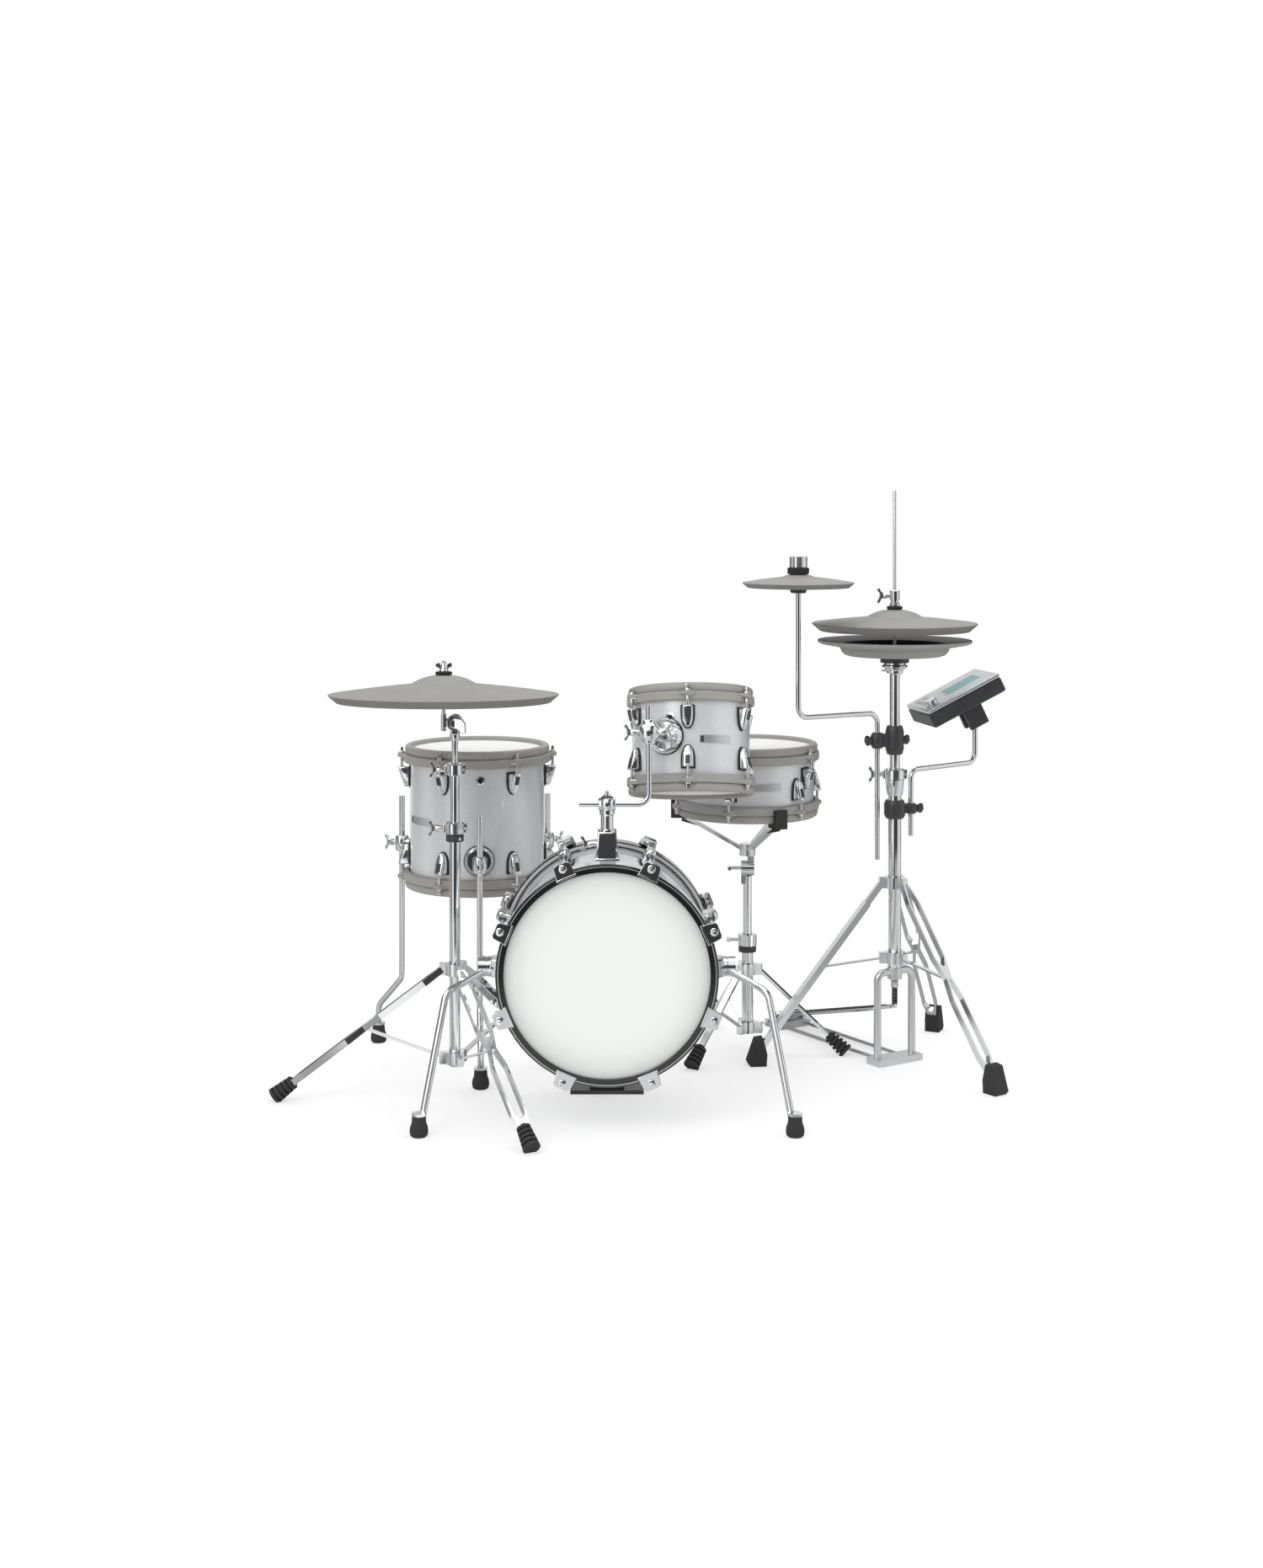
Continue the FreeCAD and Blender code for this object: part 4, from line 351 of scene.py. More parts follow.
@dataclass(frozen=True)
class RimShadedHead(Finish):
    """A plain white skin with painted shade that darkens it towards its rim."""

    centre: tuple[float, float] = (BASS_X * MM, BASS_Z * MM)
    radius: float = 0.2

    def tint(self, graph: Graph) -> Wire:
        """Give the colour, with painted shade darker towards the rim.

        Args:
            graph: The material's graph.

        Returns:
            The colour over the skin, with the painted shade.
        """
        x = graph.component(graph.spot(), Axis.X) - self.centre[0]
        z = graph.component(graph.spot(), Axis.Z) - self.centre[1]
        reach = (x * x + z * z) * (1 / self.radius ** 2)
        # Painted shade: the skin's colour is darkened in steps towards the hoop, where shade falls inside the
        # rim.
        rim_shade_shares = ((0.35, 1.0), (0.6, 0.95), (0.8, 0.86), (1.0, 0.7))
        return graph.ramp(reach, *[(place, shade(self.colour, share)) for place, share in rim_shade_shares])


@dataclass(frozen=True)
class Display(Finish):
    """A dull display with faint rows of cells."""

    cell_scale: float = 300.0
    gloss: float = 0.15

    def paint(self, graph: Graph) -> None:
        """Fill a material's graph.

        Args:
            graph: The material's graph.
        """
        cells = graph.node("ShaderNodeTexBrick", {"offset": 0.0},
                           {"Vector": graph.spot(), "Scale": self.cell_scale}, "Fac")
        tint = graph.ramp(cells, (0.0, self.colour), (1.0, shade(self.colour, 0.85)))
        sockets = self.sockets(graph, tint, graph.noise(self.mottle_scale), cells, MM / 10)
        graph.surface(sockets | {"Specular IOR Level": self.gloss})


class Look(Enum):
    CHROME = Finish("chrome", (0.80, 0.81, 0.82), roughness=0.07, metallic=1.0, mottle=0.03,
                    mottle_scale=18.0, drift=0.05, grain_scale=900.0, relief=0.015)
    CAST_CHROME = Finish("chrome", (0.74, 0.75, 0.76), roughness=0.14, metallic=1.0, mottle=0.05,
                         mottle_scale=40.0, drift=0.08, grain_scale=500.0, relief=0.05)
    STEEL = Finish("steel", (0.55, 0.55, 0.55), roughness=0.28, metallic=1.0, mottle=0.08, mottle_scale=30.0,
                   drift=0.12, grain_scale=700.0, relief=0.08)
    DARK_STEEL = Finish("steel", (0.10, 0.10, 0.105), roughness=0.35, metallic=1.0, mottle=0.2,
                        mottle_scale=60.0, drift=0.15, grain_scale=600.0, relief=0.1)
    SPARKLE = Sparkle("shell", (0.66, 0.68, 0.69), roughness=0.34, metallic=0.25, drift=0.08, relief=0.012,
                      coat=0.9)
    HOOP = Finish("hoop_grey", (0.31, 0.302, 0.282), roughness=0.5, mottle=0.05, mottle_scale=20.0,
                  drift=0.12, grain_scale=1300.0, relief=0.1)
    BLACK_HOOP = Finish("hoop_black", (0.012, 0.012, 0.013), roughness=0.16, mottle=0.2, mottle_scale=30.0,
                        grain_scale=800.0, relief=0.02, coat=0.6)
    SILVER_HOOP = Sparkle("shell", (0.64, 0.655, 0.665), roughness=0.3, metallic=0.3, drift=0.08,
                          relief=0.012, coat=0.8)
    # The front head's white, with painted shade darkening it towards the rim.
    SHADED_FRONT_HEAD = RimShadedHead("head", (0.825, 0.845, 0.815), roughness=0.22, mottle_scale=4.0, drift=0.05,
                          grain_scale=600.0, relief=0.01, coat=0.35)
    MESH_HEAD = Woven("head", (0.80, 0.80, 0.79), roughness=0.58, relief=0.25)
    MESH_BATTER = Woven("head", (0.80, 0.80, 0.79), roughness=0.58, relief=0.25, directions=(Axis.X, Axis.Z))
    BLACK_RUBBER = Finish("black_rubber", (0.014, 0.014, 0.015), roughness=0.55, mottle=0.2,
                          mottle_scale=50.0, drift=0.15, grain_scale=1100.0, relief=0.15)
    PAD = Finish("pad_rubber", (0.265, 0.262, 0.25), roughness=0.62, mottle=0.04, mottle_scale=12.0,
                 drift=0.1, grain_scale=1600.0, relief=0.12)
    PAD_RIM = Finish("pad_rubber", (0.17, 0.165, 0.15), roughness=0.6, mottle_scale=14.0, drift=0.1,
                     grain_scale=1600.0, relief=0.12)
    BLACK_PLASTIC = Finish("black_plastic", (0.016, 0.016, 0.018), roughness=0.34, mottle=0.15,
                           mottle_scale=40.0, drift=0.1, grain_scale=900.0, relief=0.1)
    FELT = Finish("black_rubber", (0.02, 0.02, 0.02), roughness=0.95, mottle=0.3, mottle_scale=300.0,
                  drift=0.05, grain_scale=900.0, relief=0.5)
    CASE = Finish("case_plastic", (0.035, 0.036, 0.042), roughness=0.42, mottle=0.1, mottle_scale=40.0,
                  drift=0.1, grain_scale=1200.0, relief=0.14)
    PANEL = Finish("panel", (0.66, 0.665, 0.67), roughness=0.42, metallic=0.1, mottle=0.05, mottle_scale=35.0,
                   drift=0.1, grain_scale=1400.0)
    DISPLAY = Display("panel", (0.22, 0.40, 0.39), roughness=0.43, relief=0.1)
    CLEAR = Finish("chrome", (0.85, 0.86, 0.87), roughness=0.05, metallic=0.9, mottle=0.02, mottle_scale=20.0,
                   drift=0.03, grain_scale=500.0, relief=0.01)

    def material(self) -> bpy.types.Material:
        """Give the finish's material, made at its first use.

        Returns:
            The material.
        """
        name = self.name.lower()
        made = bpy.data.materials.get(name)
        if made is None:
            made = bpy.data.materials.new(name)
            made.use_nodes = True
            self.value.paint(Graph(made.node_tree))
        return made


LOOKS = list(Look)


class Part:
    """A small mesh made with bmesh operators, to be set into a piece once or many times."""

    def __init__(self, look: Look) -> None:
        """Start empty, in one finish."""
        self.look = look
        self.bm = bmesh.new()

    def done(self) -> "Part":
        """Close the shape, point its faces out and give them their finish.

        Returns:
            The same part.
        """
        bmesh.ops.remove_doubles(self.bm, verts=self.bm.verts, dist=MERGE_DISTANCE)
        bmesh.ops.recalc_face_normals(self.bm, faces=self.bm.faces)
        for face in self.bm.faces:
            face.material_index = LOOKS.index(self.look)
            face.smooth = True
        return self

    def rounded(self, width: float, segments: int = 2, angle: float = 30, flat: bool = False) -> "Part":
        """Round the edges where faces meet at more than an angle.

        Args:
            width: How far the edges are rounded.
            segments: How many faces a rounding has.
            angle: The least angle between two faces, in degrees.
            flat: True where the faces between the roundings are shaded as planes.

        Returns:
            The same part.
        """
        limit = math.radians(angle)
        edges = [edge for edge in self.bm.edges if edge.is_manifold and edge.calc_face_angle() > limit]
        curved = bmesh.ops.bevel(self.bm, geom=edges, offset=width, offset_type="OFFSET", segments=segments,
                                 profile=0.5, affect="EDGES", clamp_overlap=True, material=-1)["faces"]
        self.done()
        if flat:
            for face in set(self.bm.faces) - set(curved):
                face.smooth = False
        return self

    def raise_face(self, outline: Outline, low: float, height: float) -> list[bmesh.types.BMVert]:
        """Raise a flat outline in X and Y.

        Args:
            outline: Its (x, y) points.
            low: The height that it starts from.
            height: How far it is raised.

        Returns:
            The points of the raised face.
        """
        face = self.bm.faces.new([self.bm.verts.new((x, y, low)) for x, y in outline])
        raised = bmesh.ops.extrude_face_region(self.bm, geom=[face])["geom"]
        front = [item for item in raised if isinstance(item, bmesh.types.BMVert)]
        bmesh.ops.translate(self.bm, vec=(0, 0, height), verts=front)
        return front

    def painted(self, look: Look, where: Test) -> "Part":
        """Give another finish to the faces whose middle passes a test.

        Args:
            look: The other finish.
            where: The test of a face's middle.

        Returns:
            The same part.
        """
        for face in self.bm.faces:
            if where(face.calc_center_median()):
                face.material_index = LOOKS.index(look)
        return self


def lathe(look: Look, outline: Outline, steps: int = 32) -> Part:
    """Turn a section about Z.

    Args:
        look: The finish.
        outline: The section's (radius, height) points, which close on themselves if they start off the axis.
        steps: How many steps a full turn has.

    Returns:
        The turned shape.
    """
    part = Part(look)
    verts = [part.bm.verts.new((radius, 0, height)) for radius, height in outline]
    closing = verts[:1] if outline[0][0] > 0 else []
    for first, second in zip(verts, verts[1:] + closing):
        part.bm.edges.new((first, second))
    bmesh.ops.spin(part.bm, geom=part.bm.verts[:] + part.bm.edges[:], cent=(0, 0, 0), axis=(0, 0, 1),
                   dvec=(0, 0, 0), angle=math.tau, steps=steps, use_merge=True, use_duplicate=False)
    return part.done()


def sleeve(bore: float, radius: float, low: float, high: float, inset: float, rise: float) -> Outline:
    """Give the section of a ring or a pin whose outer edges are cut off.

    Args:
        bore: Its inner radius, or 0.
        radius: Its outer radius.
        low: Its lower end.
        high: Its upper end.
        inset: How far a cut reaches in.
        rise: How far a cut reaches along.

    Returns:
        The (radius, height) points.
    """
    return [(bore, low), (radius - inset, low), (radius, low + rise), (radius, high - rise),
            (radius - inset, high), (bore, high)]


def tube(look: Look, outer: float, inner: float, low: float, high: float, steps: int = 40) -> Part:
    """Make a tube between two heights with eased ends."""
    section = [(inner, low), (outer, low), (outer, high), (inner, high)]
    return lathe(look, section, steps).rounded(0.8, angle=60)


def rod(look: Look, radius: float, low: float, high: float, steps: int = 24, edge: float = 0.8) -> Part:
    """Make a round bar between two heights with eased ends.

    Args:
        look: The finish.
        radius: Its radius.
        low: Its lower end.
        high: Its upper end.
        steps: How many sides it has.
        edge: How far its ends are eased, at most.

    Returns:
        The bar.
    """
    part = Part(look)
    bmesh.ops.create_cone(part.bm, cap_ends=True, segments=steps, radius1=radius, radius2=radius,
                          depth=high - low, matrix=move(0, 0, (low + high) / 2))
    return part.done().rounded(min(edge, radius / 3, (high - low) / 3))


def ball(look: Look, radius: float) -> Part:
    """Make a ball.

    Args:
        look: The finish.
        radius: Its radius.

    Returns:
        The ball.
    """
    part = Part(look)
    bmesh.ops.create_uvsphere(part.bm, u_segments=28, v_segments=16, radius=radius)
    return part.done()


def block(look: Look, size: tuple[float, float, float], edge: float, taper: float = 1.0) -> Part:
    """Make a bar with rounded edges, centred in X and Y and standing on Z 0.

    Args:
        look: The finish.
        size: Its length, width and height.
        edge: How far its edges are rounded.
        taper: The share of its length and width that its top has.

    Returns:
        The bar.
    """
    part = Part(look)
    bmesh.ops.create_cube(part.bm, size=1, matrix=move(0, 0, 0.5))
    bmesh.ops.scale(part.bm, vec=Vector(size), verts=part.bm.verts)
    high = [vert for vert in part.bm.verts if vert.co.z > size[2] / 2]
    bmesh.ops.scale(part.bm, vec=Vector((taper, taper, 1)), verts=high)
    return part.done().rounded(edge, flat=True)


def slab(look: Look, outline: Outline, thickness: float, edge: float, segments: int = 2) -> Part:
    """Raise a flat outline in X and Y to a thickness, centred on Z 0, with rounded edges.

    Args:
        look: The finish.
        outline: Its (x, y) points.
        thickness: Its thickness.
        edge: How far its edges are rounded.
        segments: How many faces a rounding has.

    Returns:
        The slab.
    """
    part = Part(look)
    part.raise_face(outline, -thickness / 2, thickness)
    return part.done().rounded(edge, segments, angle=40, flat=True)


def mirrored(half: Outline, axis: Axis = Axis.Y) -> Outline:
    """Give a whole outline from one half of it.

    Args:
        half: The points on one side of the axis, in order.
        axis: The axis, X or Y, that both halves meet on.

    Returns:
        The points of both halves.
    """
    if axis is Axis.X:
        other = [(x, -y) for x, y in reversed(half) if abs(y) > MERGE_DISTANCE]
    else:
        other = [(-x, y) for x, y in reversed(half) if abs(x) > MERGE_DISTANCE]
    return [*half, *other]


class Piece:
    def __init__(self, name: str) -> None:
        """Start an empty piece."""
        self.name = name
        self.bm = bmesh.new()

    def add(self, part: Part, *places: Matrix) -> "Piece":
        """Set a part in at each of the places.

        Args:
            part: The part, which is used up.
            places: The frames, or none for the piece's own.

        Returns:
            The same piece.
        """
        mesh = bpy.data.meshes.new("part")
        part.bm.to_mesh(mesh)
        part.bm.free()
        for place in places or (Matrix.Identity(4),):
            count = len(self.bm.verts)
            self.bm.from_mesh(mesh)
            self.bm.verts.ensure_lookup_table()
            bmesh.ops.transform(self.bm, matrix=place, verts=self.bm.verts[count:])
        bpy.data.meshes.remove(mesh)
        return self

    def make(self, body: str, *nodes: str) -> None:
        """Write the piece in metres and let it ride.

        Args:
            body: The body that it moves with.
            nodes: The nodes that it stands for.
        """
        bmesh.ops.transform(self.bm, matrix=Matrix.Scale(MM, 4), verts=self.bm.verts)
        used = sorted({face.material_index for face in self.bm.faces})
        for face in self.bm.faces:
            face.material_index = used.index(face.material_index)
        smooth = [face.smooth for face in self.bm.faces]
        mesh = bpy.data.meshes.new(self.name)
        self.bm.to_mesh(mesh)
        self.bm.free()
        mesh.set_sharp_from_angle(angle=SHARP_ANGLE)
        mesh.polygons.foreach_set("use_smooth", smooth)
        for index in used:
            mesh.materials.append(LOOKS[index].material())
        item = bpy.data.objects.new(self.name, mesh)
        bpy.context.scene.collection.objects.link(item)
        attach(item, body)
        if nodes:
            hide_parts(*nodes)
        LOG.info("%s rides on %s, %d faces", self.name, body, len(mesh.polygons))


class Kit:
    """The loaded frame, with the dressing of the nodes that stay in sight."""

    def __init__(self, frame: dict) -> None:
        """Hold the frame."""
        self.nodes = frame["nodes"]

    def dress(self, name: str, look: Look, *rules: Rule) -> None:
        """Give a node its finishes.

        Args:
            name: The node.
            look: The finish of its faces that no rule takes.
            rules: Pairs of a test of a face's middle, in millimetres, and a finish.
        """
        mesh = self.nodes[name].data
        mesh.materials.clear()
        for finish in (look, *[rule[1] for rule in rules]):
            mesh.materials.append(finish.material())
        for face in mesh.polygons:
            middle = face.center / MM
            index = next((number for number, rule in enumerate(rules, 1) if rule[0](middle)), 0)
            face.material_index = index
        LOG.info("%s keeps its shape", name)


BOLT_RADIUS = 5
COLLAR_HEIGHT = 24
# The air above and below a pad cymbal at rest, and the air under a casting on its shell.
REST_GAP = 0.84
SEAT_GAP = 0.2
WING = mirrored([(0, -3), (6, -3), (7, 4), (17, 9), (16.5, 13.5), (11, 14.5), (5.5, 9.5), (0, 9)])
# Turns a part's X, Y and Z to the way round a shell, the way along it and the way out.
SIDEWAYS = Matrix(((0, 0, 1, 0), (1, 0, 0, 0), (0, 1, 0, 0), (0, 0, 0, 1)))


def at_each(places: Sequence[Matrix], shift: Matrix) -> list[Matrix]:
    """Give each of the places with the same shift in its own frame."""
    return [place @ shift for place in places]


def around(place: Matrix, count: int, shift: Matrix) -> list[Matrix]:
    """Give a shift that repeats evenly about a place's Z."""
    return [place @ turn(Axis.Z, 360 / count * index) @ shift for index in range(count)]


def add_wing_bolt(piece: Piece, place: Matrix, shank: float = 16) -> None:
    """Add a wing bolt whose shank rises along the place's Z.

    Args:
        piece: The piece that takes it.
        place: The bolt's frame.
        shank: How far the shank rises.
    """
    hub = [(0, 0), (BOLT_RADIUS + 2.5, 0), (BOLT_RADIUS + 2, 5), (BOLT_RADIUS, 8), (0, 8)]
    piece.add(rod(Look.CHROME, BOLT_RADIUS, -2, shank, 20), place)
    piece.add(lathe(Look.CHROME, hub, 24), place @ move(0, 0, shank - 6))
    piece.add(slab(Look.CHROME, WING, 4.6, 1.6, 3), place @ move(0, 0, shank + 0.5) @ turn(Axis.X, 90))


def arc_plate(look: Look, radius: float, thickness: float, height: float, sweep: float) -> Part:
    """Make a thin plate that follows a shell, centred on the X axis.

    Args:
        look: The finish.
        radius: Its inner radius.
        thickness: How far it stands out.
        height: Its size along the shell.
        sweep: Its size round the shell, in degrees.

    Returns:
        The plate.
    """
    part = Part(look)
    section = [(radius, -height / 2), (radius + thickness, -height / 2), (radius + thickness, height / 2),
               (radius, height / 2)]
    verts = [part.bm.verts.new((out, 0, up)) for out, up in section]
    face = part.bm.faces.new(verts)
    start = Matrix.Rotation(math.radians(-sweep / 2), 3, "Z")
    bmesh.ops.rotate(part.bm, cent=(0, 0, 0), matrix=start, verts=verts)
    bmesh.ops.spin(part.bm, geom=[face], cent=(0, 0, 0), axis=(0, 0, 1), dvec=(0, 0, 0),
                   angle=math.radians(sweep), steps=16, use_duplicate=False, use_merge=False)
    return part.done().rounded(0.4, angle=50, flat=True)


@dataclass(kw_only=True)
class Drum:
    """A drum along its own Z, with a hoop at each end and lugs round its shell."""

    frame: Matrix
    depth: float
    shell: float
    hoop: float
    hoop_height: float
    rise: float
    rod_ring: float
    lug_count: int
    lug_angle: float
    low_offset: float = 0
    lip_width: float = 4
    hoop_gap: float = 3.4

    @property
    def lip(self) -> float:
        """Give the radius of a hoop's lip on the head."""
        return self.shell - self.lip_width

    @property
    def bore(self) -> float:
        """Give the radius of a hoop's inner side round the shell."""
        return self.shell + self.hoop_gap

    def ends(self) -> tuple[Matrix, Matrix]:
        """Give the frames of the low and the high end, each with its Z into the drum."""
        return self.frame, self.frame @ move(0, 0, self.depth) @ turn(Axis.X, 180)

    def spots(self) -> list[Matrix]:
        """Give the frames of the lugs at the low end and then at the high end, with X outwards.

        Returns:
            The frames.
        """
        low, high = self.ends()
        angles = [self.lug_angle + 360 / self.lug_count * index for index in range(self.lug_count)]
        return [*[low @ turn(Axis.Z, angle + self.low_offset) for angle in angles],
                *[high @ turn(Axis.Z, -angle) for angle in angles]]


@dataclass(kw_only=True)
class TomDrum(Drum):
    """A tom or the snare: hoops, lugs, rods, heads and a bare badge."""

    name: str
    body: str
    badge_angle: float
    badge_z: float
    badge_sweep: float
    jack_angle: float
    jack_z: float
    hoop_height: float = 36
    rise: float = 9
    lug_count: int = 6
    band_height: float = 18
    lug_drop: float = 12
    lug_height: float = 44
    lug_width: float = 25
    lug_tip_depth: float = 9
    lug_narrowing: float = 0.78
    gasket_margin: float = 2.2
    gasket_depth: float = 2
    window_share: float = 0.34

    @property
    def flange(self) -> float:
        """Give the outer radius of a hoop's flange, just inside the rods."""
        return self.rod_ring - 3.2

    @property
    def lug_top(self) -> float:
        """Give how far into the drum a lug's rod end lies."""
        return self.hoop_height + self.lug_drop

    def build(self, kit: Kit) -> None:
        """Dress the drum.

        Args:
            kit: The loaded kit.
        """
        kit.dress(f"{self.name}_shell", Look.SPARKLE)
        kit.dress(f"{self.name}_heads", Look.MESH_HEAD)
        self.make_hoops()
        self.make_lugs()
        self.make_badge()

    def hoop_section(self) -> Outline:
        """Give a hoop's section: a rounded upper band over a wider flange.

        Returns:
            The (radius, height) points.
        """
        band = self.band_height
        return [(self.lip, 1.6), (self.lip + 2, 0.2), (self.hoop - 5, 0), (self.hoop - 1.6, 2),
                (self.hoop, 6.5), (self.hoop, 11), (self.hoop - 1.2, band - 2.4), (self.hoop - 3, band - 0.6),
                (self.flange - 1.6, band), (self.flange, band + 1.8), (self.flange, self.hoop_height - 1.8),
                (self.flange - 1.8, self.hoop_height), (self.bore, self.hoop_height), (self.bore, self.rise),
                (self.lip, self.rise)]

    def make_hoops(self) -> None:
        """Make both hoops with a fan-shaped ear at each rod."""
        piece = Piece(f"{self.name}_hoop_set")
        ear = mirrored([(self.flange - 4, -17), (self.flange + 0.6, -16.5), (self.rod_ring + 5, -8),
                        (self.rod_ring + 9, -4.5)], Axis.X)
        piece.add(lathe(Look.HOOP, self.hoop_section(), 128), *self.ends())
        piece.add(slab(Look.HOOP, ear, 8, 1.6), *at_each(self.spots(), move(0, 0, self.band_height + 4)))
        piece.make(self.body, f"{self.name}_hoops")

    def lug_outline(self, margin: float) -> Outline:
        """Give a lug's arch in X across and Y away from the rod, wider by a margin all round.

        Args:
            margin: How much wider it is.

        Returns:
            The (x, y) points.
        """
        half = self.lug_width / 2 + margin
        tall = self.lug_height
        return mirrored([(0, -margin), (half, -margin), (half, tall * 0.42), (half * 0.93, tall * 0.66),
                         (half * 0.72, tall * 0.86), (half * 0.38, tall * 0.97 + margin), (0, tall + margin)])

    def gasket(self) -> Part:
        """Make the flat gasket under a lug.

        Returns:
            The gasket, with Z outwards.
        """
        part = Part(Look.BLACK_RUBBER)
        part.raise_face(self.lug_outline(self.gasket_margin), 0, self.gasket_depth)
        return part.done().rounded(0.7, segments=3, angle=40)

    def casing(self, reach: float) -> Part:
        """Make a lug's casing, which slopes from its rod end to its tip.

        Args:
            reach: How far it stands out at its rod end.

        Returns:
            The casing, with Z outwards.
        """
        part = Part(Look.CHROME)
        front = part.raise_face(self.lug_outline(0), 0, reach)
        bmesh.ops.scale(part.bm, vec=(self.lug_narrowing, 1, 1), verts=front)
        slope = Matrix.Identity(4)
        slope[2][1] = (self.lug_tip_depth - reach) / self.lug_height
        bmesh.ops.transform(part.bm, matrix=slope, verts=front)
        return part.done().rounded(3.2, segments=3, angle=40)

    def make_lugs(self) -> None:
        """Make the casings with their gaskets and windows, and the tension rods."""
        piece = Piece(f"{self.name}_lug_set")
        back = self.shell + SEAT_GAP
        feet = at_each(self.spots(), move(back, 0, self.lug_top) @ SIDEWAYS)
        piece.add(self.gasket(), *feet)
        reach = self.rod_ring + 8 - back - self.gasket_depth
        fall = reach - self.lug_tip_depth
        seats = at_each(feet, move(0, 0, self.gasket_depth))
        piece.add(self.casing(reach), *seats)
        window = (move(0, self.lug_height * self.window_share, reach - fall * self.window_share)
                  @ turn(Axis.X, -math.degrees(math.atan2(fall, self.lug_height))) @ move(0, 0, -1.4))
        piece.add(block(Look.BLACK_PLASTIC, (10.5, 19, 2), 0.8), *at_each(seats, window))
        self.add_rods(piece, at_each(self.spots(), move(self.rod_ring, 0, 0)))
        piece.make(self.body, f"{self.name}_lugs_and_rods")

    def add_rods(self, piece: Piece, places: Sequence[Matrix]) -> None:
        """Add the tension rods with their collars, fan washers and key heads.

        Args:
            piece: The piece that takes it.
            places: The frames of the rods.
        """
        band = self.band_height
        collar = [(0, band - 4), (4.4, band - 4), (5.5, band - 2.6), (5.5, band), (0, band)]
        fan = [*mirrored([(-9, -13), (-6, -14), (4, -5), (6.4, -2.5)], Axis.X), (-5, 0)]
        piece.add(rod(Look.CHROME, 3, band + 4, self.lug_top + 8, 16), *places)
        piece.add(lathe(Look.CHROME, collar, 20), *places)
        piece.add(slab(Look.CHROME, fan, 1.6, 0.5), *at_each(places, move(0, 0, band + 8.8)))
        piece.add(block(Look.CHROME, (6.2, 6.2, 9.4), 0.9, 0.92),
                  *at_each(places, move(0, 0, band - 3.6) @ turn(Axis.X, 180)))

    def make_badge(self) -> None:
        """Make the bare badge plate and the ring round the jack."""
        piece = Piece(f"{self.name}_badge")
        place = self.frame @ turn(Axis.Z, self.badge_angle) @ move(0, 0, self.badge_z)
        piece.add(arc_plate(Look.PANEL, self.shell + 0.1, 1.3, 16, self.badge_sweep), place)
        piece.add(arc_plate(Look.BLACK_PLASTIC, self.shell + 0.4, 1.3, 12.5, self.badge_sweep * 0.1),
                  place @ turn(Axis.Z, -self.badge_sweep * 0.42))
        jack = (self.frame @ turn(Axis.Z, self.jack_angle) @ move(self.shell + 0.1, 0, self.jack_z)
                @ turn(Axis.Y, 90))
        ring = [(5.8, 0), (9.5, 0), (9.2, 1.8), (6.2, 2.4), (5.8, 2)]
        socket = [(0, -9), (6.4, -9), (6.4, 1), (3.4, 1), (3.2, -6), (0, -6)]
        piece.add(lathe(Look.CHROME, ring, 28), jack)
        piece.add(lathe(Look.BLACK_PLASTIC, socket, 28), jack)
        piece.make(self.body)


